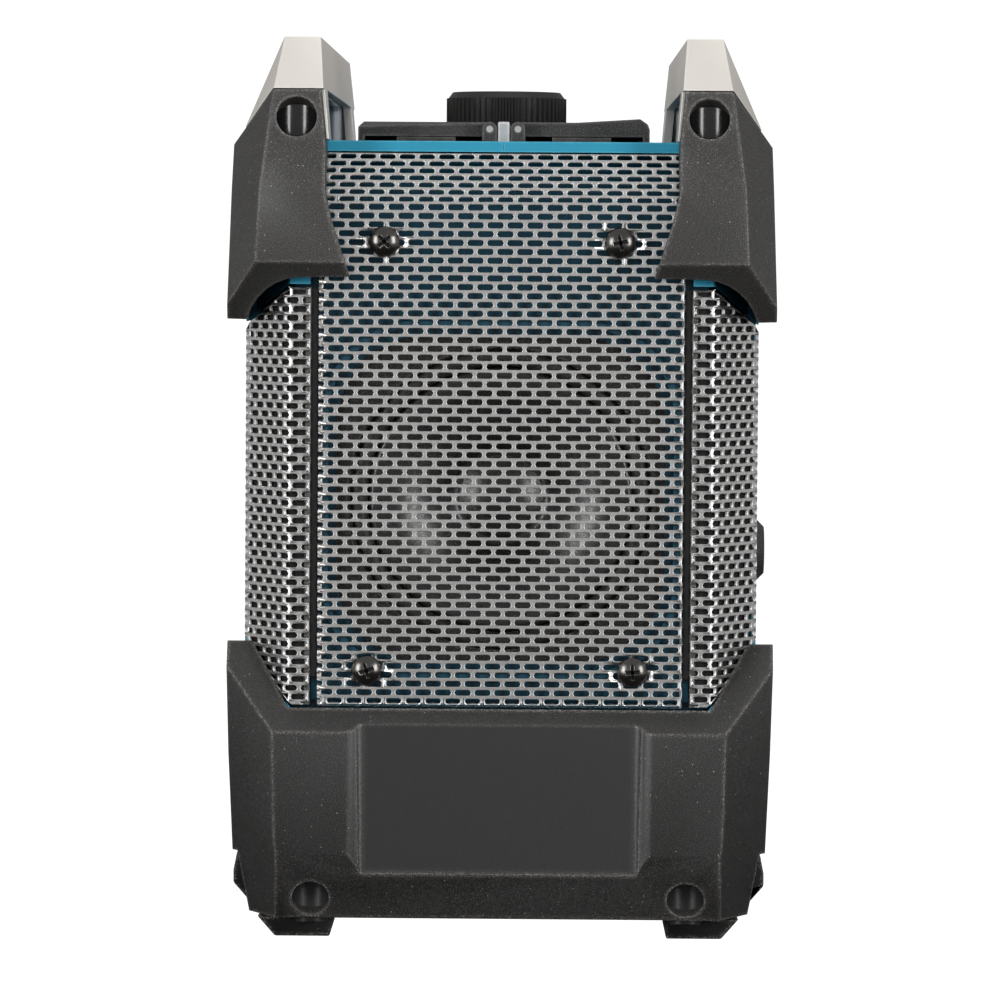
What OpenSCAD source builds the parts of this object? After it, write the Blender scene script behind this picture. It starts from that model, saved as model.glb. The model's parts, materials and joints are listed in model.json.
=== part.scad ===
// Jobsite radio with end speakers, corner bumpers and two roll bars.
// Frame: +Z up, front of the radio towards -Y, left end towards -X,
// origin on the floor under the middle of the radio. Sizes in millimetres.

/* [Body] */
// Length of the cabinet between its two grille faces
body_len = 256; // [240:1:290]
// Depth of the cabinet from front face to rear face
body_depth = 156; // [150:1:166]
// Height of the cabinet's teal top rim
body_top = 240.8; // [236:0.2:250]
// Height of the cabinet's lower edge, where the base tub starts
housing_low = 26; // [24:0.5:28]
// How far each corner facet runs along the cabinet's length
corner_run = 22.4; // [16:0.2:28]
// How far each corner facet runs across the cabinet's depth
corner_rise = 14.4; // [10:0.2:16]
// Height at which the end faces start to lean inwards
shoulder_z = 222.4; // [216:0.2:226]
// Height at which the leaning end faces stop at the rim
rim_z = 237.6; // [234:0.2:239]
// Lean of the end faces above the shoulder, in degrees
shoulder_angle = 36; // [25:1:42]
// Wall thickness of the cabinet
wall = 3; // [2:0.1:4]
// Gap between pieces that are screwed or clipped together
fit = 0.3; // [0.2:0.05:0.4]
// Radial clearance of a pin or shaft in its hole
running = 0.05; // [0.02:0.01:0.09]

/* [Grilles] */
// Thickness of the perforated steel sheets
sheet_t = 1; // [0.6:0.1:1.2]
// Half width of the centre grilles
centre_half = 55; // [50:0.5:58]
// Width of the black seal strips between the grilles
seal_w = 2.5; // [2:0.1:4]
// Lower edge of the grilles
grille_low = 70.1; // [68:0.1:74]
// Upper edge of the corner grilles' flat strips
corner_grille_top = 196.9; // [190:0.1:204]
// Height where a corner grille's lower edge reaches the side face
corner_low_side = 93; // [88:0.5:100]
// Height where a corner grille's upper edge reaches the side face
corner_top_side = 183.5; // [176:0.5:186]
// Length of a corner grille's return along the front or rear face
grille_return = 22; // [10:1:30]
// Depth of the sunk field behind the end grilles
end_recess = 6.5; // [5:0.5:9]
// Depth of the sunk field behind the corner grilles
corner_recess = 4.5; // [3.5:0.5:7]
// Distance from centre line to the upper grille screws
screw_top_y = 35.5; // [25:0.5:40]
// Height of the upper grille screws
screw_top_z = 210.4; // [200:0.2:214]
// Distance from centre line to the lower grille screws
screw_low_y = 40.1; // [30:0.5:45]
// Height of the lower grille screws
screw_low_z = 81.2; // [79:0.2:84]
// Diameter of the grille screws' pan heads
screw_head_d = 9; // [7:0.1:10]
// Height of the grille screws' pan heads
screw_head_h = 2.6; // [1.8:0.1:3]
// Diameter of the screw shanks
screw_shank_d = 3.6; // [3:0.1:4]

/* [Bumpers] */
// How far the bumpers stand out past the grille faces
bumper_reach = 9; // [7:0.5:12]
// Length of the upper bumpers along the radio
bumper_len = 45; // [36:1:55]
// Top of the upper bumpers
bumper_top = 255.8; // [252:0.2:258]
// Height of the crease where the upper bumpers lean back
bumper_crease = 226.3; // [222:0.2:232]
// How far the upper bumpers' faces lean back at the top
bumper_lean = 7.7; // [5:0.1:9]
// Height of the crease above the upper bumpers' undercut
undercut_z = 204; // [202:0.2:208]
// Lowest point of the upper bumpers
bumper_low = 186.8; // [184.5:0.1:190]
// How far the bumpers stand proud of the front and rear faces
bumper_proud = 5; // [4:0.1:6]
// Radius of the round notch under the upper bumpers
notch_r = 17.9; // [15:0.1:20]
// Diameter of the screw wells in the upper bumpers
upper_well_d = 12.1; // [9:0.1:12.5]
// Diameter of the screw wells in the lower bumpers
lower_well_d = 11.2; // [8:0.1:11.6]
// Depth of the screw wells
well_depth = 10; // [6:0.5:11]
// Height of the lower bumpers on the corners
lower_top = 88.7; // [86:0.1:90]
// How far the lower bumpers' tops fall away to the middle of the radio
lower_fall = 2.4; // [0:0.1:4]
// Top edge of the lower bumpers' end faces
lower_face_top = 63.3; // [58:0.1:66]
// Height where the lower bumpers' end faces turn under
lower_crease = 26.9; // [25:0.1:32]
// Underside of the lower bumpers
lower_bottom = 6.4; // [5:0.1:7.5]
// How far the lower bumpers' faces turn under
lower_lean = 8; // [5:0.5:9]
// Half width of the shallow panel in the lower bumpers
panel_half = 44.4; // [35:0.1:46]
// Depth of the shallow panel in the lower bumpers
panel_sunk = 3; // [1.5:0.1:4]
// Length of the lower bumpers along the front and rear faces
lower_len = 53; // [50:1:60]
// How far the lower bumpers stand proud of the front and rear faces
lower_proud = 5; // [3.6:0.1:6]
// Reach of the facets on the lower bumpers' corners
lower_facet = 18; // [16:0.1:24]
// Height of the fold in the lower bumpers' corner facets
lower_fold = 33; // [30:0.5:36]
// Height where the lower bumpers' inner ends start to taper
taper_low = 24.5; // [22:0.5:30]
// How far the lower bumpers' inner ends taper
taper_run = 7; // [4:0.5:10]
// Distance of the wells' mouths behind the bumpers' faces
well_back = 5.6; // [4:0.1:8]
// Distance from the side face to the upper wells
upper_well_in = 16.2; // [14:0.1:18]
// Height of the bumpers' tops above the upper wells
upper_well_drop = 8.2; // [7:0.1:10]
// Distance from the side face to the lower wells
lower_well_in = 21.5; // [19:0.1:24]
// Height of the lower wells
lower_well_z = 12.6; // [11:0.1:14]

/* [Base] */
// Height of the feet under the base tub
foot_h = 7.7; // [7.6:0.1:9]
// Length of each foot along the radio
foot_len = 27; // [20:1:27]
// Length of the toe that each foot puts out under the bumper
foot_toe = 10; // [4:0.5:11]
// Distance from the side face to a foot's inner edge
foot_in = 28.2; // [24:0.1:30]
// Distance from the side face to the outer edge of a foot's sole
sole_out = 10.4; // [9:0.1:13]
// How far the feet stand proud of the front and rear faces
foot_proud = 2.8; // [1:0.1:4]
// Height where the feet's outer slope ends
foot_slope = 15; // [12:0.5:17]
// Distance from the radio's middle to the feet's inner ends
foot_x = 86; // [84:1:86]
// How far the base tub steps in from the front and rear faces
tub_step = 5; // [4:0.5:6]
// How far the base tub steps in from the ends
tub_end = 8; // [6:0.5:12]
// Thickness of the base tub's floor
tub_floor = 3; // [2:0.1:5]
// Diameter of the base screws' heads
base_head_d = 7.6; // [6:0.1:8]
// Length of the base screws
base_screw_len = 24; // [18:1:26]

/* [Roll bars] */
// How far the roll bars rise above the bumpers
bar_rise = 16.2; // [10:0.1:24]
// Width of the roll bars' flat tops
bar_flat = 11; // [9:0.5:14]
// Distance from centre line to the inner edge of the flat tops
bar_in_top = 55.2; // [54:0.2:58]
// Distance from centre line to the bars' inner feet
bar_in_low = 52.6; // [51:0.2:53]
// Height where the bars' outer slope ends
bar_knee = 245; // [243:0.5:248]
// Distance from the bumper face back to the end of the crest
bar_crest_back = 20; // [16:0.5:26]
// Wall thickness of the roll bars
bar_wall = 3; // [2:0.1:3.4]
// Half length of the finger pockets in the roll bars
grip_half = 100; // [80:1:104]
// Top of the finger pockets
grip_top = 256.3; // [252:0.1:259]
// Depth of the finger pockets, measured from the bars' inner feet
grip_depth = 11.5; // [9.5:0.5:13]
// Thickness of the finger pockets' liners
liner_t = 1.2; // [0.8:0.1:1.5]
// Radius of the finger pockets' round ends
grip_r = 12; // [6:0.5:14]

/* [Top] */
// Half length of the opening for the top deck
deck_half_len = 106; // [100:1:107]
// Half width of the opening for the top deck
deck_half_w = 48; // [46:0.5:49]
// Depth of the top deck's trays
tray_depth = 12; // [8:0.5:14]
// Thickness of the top deck
deck_t = 2.4; // [1.6:0.1:3]
// Thickness of the ears that hold the top covers' ends
ear_t = 5.1; // [4:0.1:8]
// Distance from centre line to the covers' outer edges
cover_out = 44.5; // [42:0.5:45.5]
// Top of the covers and of the spine
cover_top = 247; // [246:0.1:248]
// Rise of the finger lip along the front cover's outer edge
finger_lip = 1.2; // [0.5:0.1:1.6]
// Distance from centre line to the dips in the covers' ends
end_dip_y = 14.4; // [12:0.1:18]
// Width of the dips in the covers' ends
end_dip_w = 18.7; // [12:0.1:20]
// Radius of the covers' hinge barrels
barrel_r = 2.2; // [1.8:0.1:2.4]
// Radius of the covers' hinge pins
cover_pin_r = 1; // [0.8:0.1:1.2]
// Length of the hinge pins
cover_pin_len = 12; // [8:0.5:14]
// Half width of the light grey spine between the covers
spine_half = 1.8; // [1.4:0.1:1.9]
// Width of the open seam between spine and covers
spine_gap = 0.3; // [0.25:0.05:0.5]
// Diameter of the top knob
knob_d = 38.8; // [34:0.2:40]
// Height of the top of the top knob
knob_top = 258.8; // [256:0.2:261]
// Size of the chamfer round the top knob
knob_chamfer = 2; // [1:0.1:3]
// Number of grip ribs round the top knob
knob_ribs = 60; // [24:1:72]
// Depth of the grip ribs
rib_depth = 0.5; // [0.3:0.1:0.8]
// Radius of the knob shafts
shaft_r = 3; // [2.5:0.1:3.5]
// Width of the top knob's encoder
encoder_w = 14; // [11:0.5:15]
// Height of the top knob's encoder
encoder_h = 10; // [7:0.5:11]

/* [Front panel] */
// Width of the front control panel
panel_w = 140; // [134:1:150]
// Lower edge of the front control panel
panel_low = 94; // [92:0.5:97]
// Upper edge of the front control panel
panel_high = 206; // [202:0.5:212]
// Thickness of the front control panel
panel_t = 3; // [2.4:0.1:3.4]
// Width of the display window
lens_w = 88; // [70:1:100]
// Height of the display window
lens_h = 32; // [24:1:36]
// Height of the display window's centre
lens_z = 180; // [177:0.5:184]
// Thickness of the display window
lens_t = 1.4; // [1:0.1:1.6]
// Thickness of the display module
module_t = 5; // [4:0.5:8]
// Width of a key
key_w = 14; // [10:0.5:15]
// Height of a key
key_h = 8; // [6:0.5:10]
// Distance of the outer keys from the panel's side edges
key_edge = 20; // [17:0.5:23]
// Height of the row of keys
key_z = 148; // [145:0.5:151]
// How far the keys stand proud of the panel
key_proud = 1.4; // [1.2:0.1:2]
// How far a key travels when pressed
key_travel = 1; // [0.6:0.1:1.1]
// Width of the rim that keeps a key behind the panel
key_rim = 1.2; // [0.8:0.1:1.5]
// Distance of the tuning dial from the panel's left edge
dial_edge = 24; // [20:0.5:28]
// Height of the tuning dial's centre
dial_z = 113.8; // [112:0.2:120]
// Radius of the tuning dial's flat face
dial_face_r = 7.4; // [6:0.1:9]
// Radius of the tuning dial's rim
dial_r = 10.4; // [9:0.1:12]
// How far the tuning dial stands out of the panel
dial_proud = 4.6; // [3.5:0.1:4.8]
// Height of the front circuit board
board_h = 100; // [98:1:104]
// Thickness of the circuit boards
board_t = 1.6; // [1:0.1:2]
// Distance of the circuit board behind the panel
board_back = 15; // [13:0.5:18]
// Distance of the audio socket from the panel's right edge
aux_edge = 56; // [50:0.5:62]
// Distance of the power socket from the panel's right edge
dc_edge = 22; // [20:0.5:26]
// Width of the dial's encoder
dial_encoder_w = 12; // [10:0.5:13]
// Free depth between the panel and the dial's encoder
encoder_gap = 4; // [3:0.5:6]
// Width of the processor on the front circuit board
chip_w = 22; // [16:1:26]
// Distance of the processor to the left of the middle
chip_off = 20; // [16:1:26]
// Width of the tuner can on the front circuit board
tuner_w = 30; // [24:1:34]
// Height of the tuner can
tuner_h = 18; // [14:1:22]
// Depth of the tuner can
tuner_d = 12; // [8:0.5:14]
// Free edge between the circuit board and the panel's sides
board_edge = 3; // [2:0.5:5]
// Diameter of the audio jack's hole
aux_d = 3.6; // [3.5:0.1:6.4]
// Diameter of the power plug's hole
dc_d = 5.6; // [5:0.1:6.5]
// Outer diameter of the sockets
socket_d = 9; // [8.5:0.5:11]
// Width of the rubber socket cap
cap_w = 28; // [22:0.5:30]
// Height of the rubber socket cap
cap_h = 20; // [18:0.5:24]
// Thickness of the rubber socket cap
cap_t = 1.6; // [1.2:0.1:2]
// Radius of the socket cap's hinge roll
cap_roll = 1.1; // [0.9:0.1:1.2]

/* [Battery] */
// Width of the battery pack
pack_w = 114; // [100:1:118]
// Free height above the battery pack in its bay
pack_room = 5.2; // [1:0.1:8]
// Depth of the battery pack
pack_d = 56; // [50:1:58]
// Lower edge of the battery door
door_low = 28.6; // [28.4:0.1:30]
// Height of the battery door
door_h = 80; // [76:1:82]
// Width of the finger dip in the battery door's upper edge
door_pull_w = 24; // [18:1:40]
// Height of that finger dip
door_pull_h = 10; // [8:0.5:14]
// Width of the battery door
door_w = 124; // [122:1:130]
// Thickness of the battery door
door_t = 3; // [2:0.1:3.4]
// How far the battery door laps over the bay's upper edge
door_lap = 3; // [2:0.5:5]
// Radius of the door's hinge barrel
door_barrel_r = 2.6; // [2.2:0.1:2.8]
// Radius of the door's hinge pins
door_pin_r = 1.2; // [0.9:0.1:1.4]
// Length of the door's hinge pins
door_pin_len = 14; // [10:0.5:16]
// Wall thickness of the battery bay
bay_wall = 2.5; // [1.5:0.1:3]
// Width of the terminal block
terminal_w = 36; // [24:1:44]
// Height of the terminal block
terminal_h = 20; // [14:1:26]
// Depth of the terminal block
terminal_d = 6; // [4:0.5:8]

/* [Speakers] */
// Height of the speakers' axis
speaker_z = 132.7; // [130:0.1:136]
// Half width of the rounded square rim round a speaker
rim_half = 54; // [50:0.5:54.5]
// Corner radius of the rounded square rim
rim_r = 29; // [20:0.5:34]
// Width of the rounded square rim
rim_w = 2; // [1.2:0.1:3]
// How far the rounded square rim stands out of the end panel
rim_proud = 2; // [1:0.1:2.1]
// Thickness of the end panels
end_panel_t = 3; // [2:0.1:3.5]
// Half width of the end panels
end_panel_half = 57; // [56.5:0.1:57.2]
// Half width of the speakers' square flanges
flange_half = 52.5; // [51.5:0.1:53]
// Thickness of the speakers' flanges
flange_t = 2; // [1.5:0.1:3]
// Half width of the opening in front of a speaker
mouth_half = 49.5; // [48:0.5:50]
// Radius of the speaker cones
cone_r = 40; // [34:0.5:41]
// Radius of the neck of the cones
neck_r = 13; // [10:0.5:16]
// Depth of the speaker cones
cone_depth = 14; // [10:0.5:18]
// Thickness of the speaker cones
cone_t = 1; // [0.6:0.1:1.4]
// How far a cone swings out and in
cone_swing = 2; // [1:0.1:2.5]
// Width of the rubber surround
surround_w = 6; // [5:0.5:6.5]
// Radius of the magnets
magnet_r = 31; // [24:0.5:34]
// Thickness of the magnets
magnet_t = 14; // [10:0.5:18]

/* [Aerials] */
// Height of the whip aerial
whip_z = 215; // [212:0.5:220]
// Place of the whip aerial's knuckle along the radio
whip_x = 84; // [78:1:86]
// Length of the folded whip aerial
whip_len = 168; // [140:1:168]
// Diameter of the whip aerial
whip_d = 3.2; // [2.4:0.1:3.4]
// Diameter of the whip aerial's knuckle
knuckle_d = 9; // [8:0.5:10]
// Radius of the knuckle's spindle
spindle_r = 2; // [1.5:0.1:2.5]
// Width of the slot in the knuckle
fork_gap = 3.6; // [3.2:0.1:4]
// Room round the folded whip where a longer one would reach a bumper
whip_room = 1; // [0.6:0.1:1.6]
// Radius of the ferrite rod
ferrite_r = 5; // [4:0.5:6]
// Length of the ferrite rod
ferrite_len = 120; // [80:1:140]

/* [Hidden] */
$fn = 64;
eps = 0.01;
split_gap = 0.1;
far = 400;

teal = [0.14, 0.53, 0.64];
dark_teal = [0.05, 0.36, 0.46];
rubber = [0.17, 0.17, 0.17];
black = [0.07, 0.07, 0.07];
steel = [0.74, 0.75, 0.76];
silver = [0.80, 0.79, 0.77];
grey = [0.55, 0.56, 0.57];

// ---- Outline of the cabinet ----

end_x = body_len / 2;
side_y = body_depth / 2;
corner_n = [corner_rise, corner_run] / norm([corner_rise, corner_run]);
corner_c = corner_n * [end_x, side_y - corner_rise];

// Where a corner facet, set in by inset, crosses a given x or y
function corner_y(x, inset) = (corner_c - inset - corner_n.x * x) / corner_n.y;
function corner_x(y, inset) = (corner_c - inset - corner_n.y * y) / corner_n.x;

// Points of a quarter outline given all round the radio
function all_round(q) = concat(
    q,
    [for (i = [len(q) - 1 : -1 : 0]) [-q[i].x, q[i].y]],
    [for (p = q) [-p.x, -p.y]],
    [for (i = [len(q) - 1 : -1 : 0]) [q[i].x, -q[i].y]]
);

// Plan of the cabinet, with its ends, corners and sides set in by the three distances
function plan(ends, corners, sides) = all_round([
    [end_x - ends, corner_y(end_x - ends, corners)],
    [corner_x(side_y - sides, corners), side_y - sides]
]);

// Length position of the leaning end face at height z, set in by inset
function lean_x(z, inset) =
    end_x - (z - shoulder_z) * tan(shoulder_angle) - inset / cos(shoulder_angle);
function bend_z(inset) = shoulder_z - inset * tan(shoulder_angle / 2);

// Half of the cabinet's side view, from the lower edge to the rim
function side_view(inset, low, top) = [
    [end_x - inset, low],
    [end_x - inset, bend_z(inset)],
    [lean_x(rim_z, inset), rim_z],
    [lean_x(rim_z, inset), top]
];

// Extrude a side view in X and Z right through the depth
module across(depth) rotate([90, 0, 0]) linear_extrude(depth, center = true) children();

// Extrude an end view in Y and Z along +X, from x0 to x1
module along(x0, x1) translate([x0, 0, 0]) rotate([90, 0, 90]) linear_extrude(x1 - x0) children();

// A mirror copy with its sides chosen by the signs of x and y
module side_of(sx, sy) mirror([sx < 0 ? 1 : 0, 0, 0]) mirror([0, sy < 0 ? 1 : 0, 0]) children();

// Everything on the outer side of the plane through a, b and c
module beyond(a, b, c) {
    n = cross(b - a, c - a);
    translate(a) rotate([0, acos(n.z / norm(n)), atan2(n.y, n.x)])
        translate([-far / 2, -far / 2, 0]) cube(far);
}

// The cabinet's block, set in by the three distances
module cabinet(ends, corners, sides, low, top) {
    v = side_view(ends, low, top);
    intersection() {
        translate([0, 0, low]) linear_extrude(top - low) polygon(plan(ends, corners, sides));
        across(far) polygon(concat(v, [for (i = [3 : -1 : 0]) [-v[i].x, v[i].y]]));
    }
}

// ---- Fields that the grilles sit in ----

seal_out = centre_half + seal_w;
face_edge = side_y - corner_rise;

// End view of a corner grille, grown by extra
function corner_grille_view(extra) = [
    [seal_out - extra, grille_low - extra],
    [face_edge - 1.1 + extra / 2, grille_low - extra],
    [side_y + 2, corner_low_side - extra],
    [side_y + 2, corner_top_side + extra],
    [face_edge + extra / 2, corner_grille_top + extra],
    [seal_out - extra, corner_grille_top + extra]
];

return_x = corner_x(side_y, 0) - grille_return;

module corner_field(extra) along(return_x - extra, far / 2) polygon(corner_grille_view(extra));

module centre_field(extra, half)
    translate([0, -half, grille_low - extra]) cube([far / 2, 2 * half, rim_z - grille_low + extra]);

// ---- Cabinet ----

mid_len = return_x - 2 * wall;
cavity_top = body_top - wall;

module cabinet_cavity() {
    cabinet(end_recess + wall, corner_recess + wall, corner_recess + wall, housing_low - 1, cavity_top);
    intersection() {
        cabinet(end_recess + wall, corner_recess + wall, wall, housing_low - 1, cavity_top);
        translate([-mid_len, -far / 2, 0]) cube([2 * mid_len, far, far]);
    }
}

module rounded_square(half, r) {
    square([2 * half, 2 * (half - r)], center = true);
    square([2 * (half - r), 2 * half], center = true);
    for (sx = [-1, 1], sy = [-1, 1]) translate([sx * (half - r), sy * (half - r)]) circle(r);
}

// A rounded square hole or plate round the speaker's axis, from x0 to x1
module speaker_square(half, r, x0, x1)
    translate([0, 0, speaker_z]) along(x0, x1) rounded_square(half, r);

end_panel_x = end_x - end_recess;
end_panel_low = grille_low + 2;
end_panel_high = corner_grille_top - 2;
window_half = flange_half + 0.5;

module grille_screw_places() {
    for (sy = [-1, 1]) {
        translate([0, sy * screw_top_y, screw_top_z]) children();
        translate([0, sy * screw_low_y, screw_low_z]) children();
    }
}

module along_x_hole(d, x0, x1) translate([x0, 0, 0]) rotate([0, 90, 0]) cylinder(h = x1 - x0, d = d);

// Bosses inside the cabinet's end walls that take the upper grille screws
boss_d = screw_shank_d + 2 * bay_wall;
module top_screw_bosses() for (sy = [-1, 1]) translate([0, sy * screw_top_y, screw_top_z])
    along_x_hole(boss_d, end_panel_x - 12, end_panel_x - wall / 2);

bay_half = max(pack_w, door_w) / 2;
bay_in_y = side_y - door_t - fit - pack_d - terminal_d - 4 * fit;
bay_low = door_low + 2 * door_barrel_r + fit;
bay_high = door_low + door_h - door_lap;
pack_h = bay_high - bay_low - fit - pack_room;
door_axis_y = side_y - door_barrel_r - 0.2;
door_axis_z = door_low + door_barrel_r;

module bay_block(extra) translate([-bay_half - extra, bay_in_y - extra, bay_low - extra])
    cube([2 * (bay_half + extra), side_y - bay_in_y + extra - eps, bay_high - bay_low + 2 * extra]);

tub_post_y = 50;
post_d = 10;
module base_post_places() for (sx = [-1, 1], sy = [-1, 1]) side_of(sx, sy)
    translate([foot_x - 8, tub_post_y, 0]) children();

module whole_cabinet() difference() {
    union() {
        difference() {
            cabinet(0, 0, 0, housing_low, body_top);
            cabinet_cavity();
            for (sx = [-1, 1]) side_of(sx, 1) difference() {
                union() {
                    centre_field(0.6, seal_out + eps);
                    for (sy = [-1, 1]) side_of(1, sy) corner_field(0.6);
                }
                cabinet(end_recess, corner_recess, corner_recess, 0, far);
            }
        }
        for (sx = [-1, 1]) side_of(sx, 1) top_screw_bosses();
        bay_block(bay_wall);
        base_post_places() translate([0, 0, housing_low]) {
            cylinder(h = bay_low - housing_low + 14, d = post_d);
            translate([-post_d / 2, 0, 0]) cube([post_d, side_y - tub_post_y - 1, bay_low - housing_low + 14]);
        }
    }
    bay_block(0);
    translate([-deck_half_len, -deck_half_w, cavity_top - 1])
        cube([2 * deck_half_len, 2 * deck_half_w, far]);
    for (sx = [-1, 1]) side_of(sx, 1) {
        speaker_square(window_half, rim_r, end_panel_x - 2 * wall, end_x + 1);
        grille_screw_places() along_x_hole(screw_shank_d + 2 * running, end_panel_x - 14, end_x);
    }
    base_post_places() cylinder(h = housing_low + 12, d = screw_shank_d + 2 * running);
}

module half_space(sy) translate([-far / 2, sy < 0 ? -far - split_gap / 2 : split_gap / 2, 0])
    cube([far, far, far]);

module front_housing() color(teal) intersection() {
    difference() {
        whole_cabinet();
        translate([-panel_w / 2, -side_y - 1, panel_low]) cube([panel_w, wall + 2, panel_high - panel_low]);
    }
    half_space(-1);
}

module rear_housing() color(teal) intersection() {
    difference() {
        whole_cabinet();
        translate([-door_w / 2 - fit, side_y - door_t - fit, door_low - fit])
            cube([door_w + 2 * fit, far, door_h + 2 * fit]);
        door_barrel(door_barrel_r + 2 * fit, door_w / 2 + fit);
        door_pins(0);
        translate([whip_x, 0, whip_z]) rotate([-90, 0, 0]) cylinder(h = side_y + 1, r = spindle_r + running);
    }
    half_space(1);
}

module end_panel() color(dark_teal) difference() {
    union() {
        along(end_panel_x, end_panel_x + end_panel_t)
            translate([-end_panel_half, end_panel_low])
                square([2 * end_panel_half, end_panel_high - end_panel_low]);
        speaker_square(rim_half, rim_r, end_panel_x + end_panel_t - 1, end_panel_x + end_panel_t + rim_proud);
        for (sy = [-1, 1]) translate([0, sy * screw_low_y, screw_low_z])
            along_x_hole(boss_d, end_panel_x + 1, end_x - sheet_t - fit);
    }
    speaker_square(rim_half - rim_w, rim_r - rim_w, end_panel_x + end_panel_t, end_x);
    speaker_square(mouth_half, rim_r - rim_w, end_panel_x - 1, end_x);
    for (sy = [-1, 1]) translate([0, sy * screw_low_y, screw_low_z])
        along_x_hole(screw_shank_d + 2 * running, end_panel_x - 1, end_x);
}

// ---- Bumpers ----

bumper_x = end_x + bumper_reach;
bar_top = bumper_top + bar_rise;
bumper_back = bumper_x - bumper_len;
bumper_side = side_y + bumper_proud;
cap_in_x = bumper_x - 18;
bar_root_y = bar_in_low + grip_depth + liner_t + 2 * fit;
face_out_low = side_y - 4.2;
face_out_mid = side_y - 5.3;
face_out_top = side_y - 9.1;
bar_in_bumper = bar_in_low + 2.1;
arc_top = corner_grille_top + 2.7;
arc_y = side_y - 18;

// End view of an upper bumper
bumper_view = concat(
    [
        [bar_in_bumper, bumper_top], [face_out_top, bumper_top],
        [bumper_side - 1.7, bumper_top - 16.4], [bumper_side - 1.4, bumper_crease + 0.7],
        [bumper_side, bumper_low]
    ],
    [for (a = [16 : 12 : 88]) [arc_y + notch_r * cos(a), arc_top - notch_r + notch_r * sin(a)]],
    [
        [centre_half - 9.3, arc_top + 0.2], [centre_half - 6.6, undercut_z + 4],
        [centre_half - 3.8, bumper_crease - 9.5], [centre_half - 2, bumper_crease - 1.3],
        [centre_half - 2, body_top - 1.8]
    ]
);

// Stretch of an upper bumper that the roll bar's root stands in
module bar_root(extra) translate([-far, -far, body_top - 0.3])
    cube([far + cap_in_x - extra, far + bar_root_y - extra, far]);

module upper_bumper_block() {
    lean_x = bumper_x - bumper_lean;
    low = [bumper_x, face_out_low, undercut_z];
    mid = [bumper_x, face_out_mid, bumper_crease];
    top = [lean_x, face_out_top, bumper_top];
    back = [-corner_run, corner_rise, 0];
    difference() {
        along(bumper_back, bumper_x) polygon(bumper_view);
        beyond(mid, mid + [0, 1, 0], top);
        beyond(low, low + [0, -1, 0], low + [-1, 0, -1]);
        beyond(low, low + back, mid);
        beyond(mid, mid + back, top);
    }
}

upper_well = [bumper_x - well_back, side_y - upper_well_in, bumper_top - upper_well_drop];
lower_well = [bumper_x - well_back, side_y - lower_well_in, lower_well_z];

module well(place, d, tilt) translate(place) rotate([0, tilt, 0])
    translate([0, 0, -well_depth]) cylinder(h = well_depth + far / 20, d = d);

module upper_bumper() color(rubber) difference() {
    upper_bumper_block();
    cabinet(-fit, -fit, -fit, 0, body_top + fit);
    bar_root(0);
    well(upper_well, upper_well_d, 63);
}

lower_in = [end_x, side_y - 15.5, grille_low];
lower_out = [bumper_x, side_y - 9.8, lower_face_top];
lower_side = [end_x - 17.9, side_y - 2.9, lower_top];
lower_back = bumper_x - lower_len;
foot_end = foot_x + foot_len;

module lower_bumper_half() {
    corner = [bumper_x, lower_out.y, lower_face_top];
    turn = [bumper_x, lower_out.y - 0.9, lower_crease];
    edge = [bumper_x - lower_facet, side_y + lower_proud, lower_face_top];
    knee = edge + [0.5, -0.4, -6.3];
    difference() {
        translate([lower_back, 0, lower_bottom])
            cube([bumper_x - lower_back, side_y + lower_proud, lower_top - lower_bottom]);
        beyond(corner, turn, edge);
        beyond(knee, [bumper_x, side_y - 10, lower_fold], [bumper_x - 15, side_y - 6.2, lower_bottom + 3.7]);
        beyond([0, side_y + lower_proud, lower_top], [1, side_y + lower_proud, lower_top],
            [0, side_y + lower_proud - 1.6, lower_fold - 3]);
        beyond(turn, turn + [0, -1, 0], turn + [-lower_lean, 0, lower_bottom - lower_crease]);
        beyond([lower_back + taper_run, 0, lower_top], [lower_back + taper_run, 1, lower_top],
            [lower_back, 0, taper_low]);
        beyond([lower_side.x, 0, lower_top], [lower_side.x, 1, lower_top],
            [lower_back, 0, lower_top - lower_fall]);
        intersection() {
            beyond(lower_in, lower_out, lower_side);
            beyond(lower_in, [bumper_x, lower_in.y, lower_face_top], lower_in + [0, 1, 0]);
        }
    }
}

module lower_bumper() color(rubber) difference() {
    for (sy = [-1, 1]) side_of(1, sy) lower_bumper_half();
    cabinet(-fit, -fit, -fit, housing_low - fit, body_top);
    tub_block(-fit);
    translate([bumper_x - panel_sunk, -panel_half, lower_crease - 6.4])
        cube([far, 2 * panel_half, lower_face_top + 5 - lower_crease + 6.4]);
    for (sy = [-1, 1]) side_of(1, sy) {
        well(lower_well, lower_well_d, 120);
        translate([0, 0, -far + housing_low - 1.2]) cube([foot_end + fit, far, far]);
    }
}

// ---- Base ----

module tub_block(inset) translate([0, 0, foot_h + fit + inset])
    linear_extrude(housing_low - foot_h - fit - inset)
        polygon(plan(tub_end + inset, tub_end + inset, tub_step + inset));

module base_tub() color(black) difference() {
    union() {
        difference() {
            tub_block(0);
            translate([0, 0, foot_h + fit + tub_floor]) linear_extrude(far)
                polygon(plan(tub_end + wall, tub_end + wall, tub_step + wall));
        }
        base_post_places() translate([0, 0, foot_h + fit + 1])
            cylinder(h = housing_low - foot_h - fit - 1, d = post_d + 2);
    }
    base_post_places() {
        cylinder(h = far, d = screw_shank_d + 2 * running);
        cylinder(h = foot_h + fit + 3.2, d = base_head_d + 1);
    }
}

module base_screws() color(black) base_post_places() translate([0, 0, foot_h + fit + 0.6]) {
    cylinder(h = 2.6, d = base_head_d);
    cylinder(h = base_screw_len, d = screw_shank_d);
}

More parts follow.
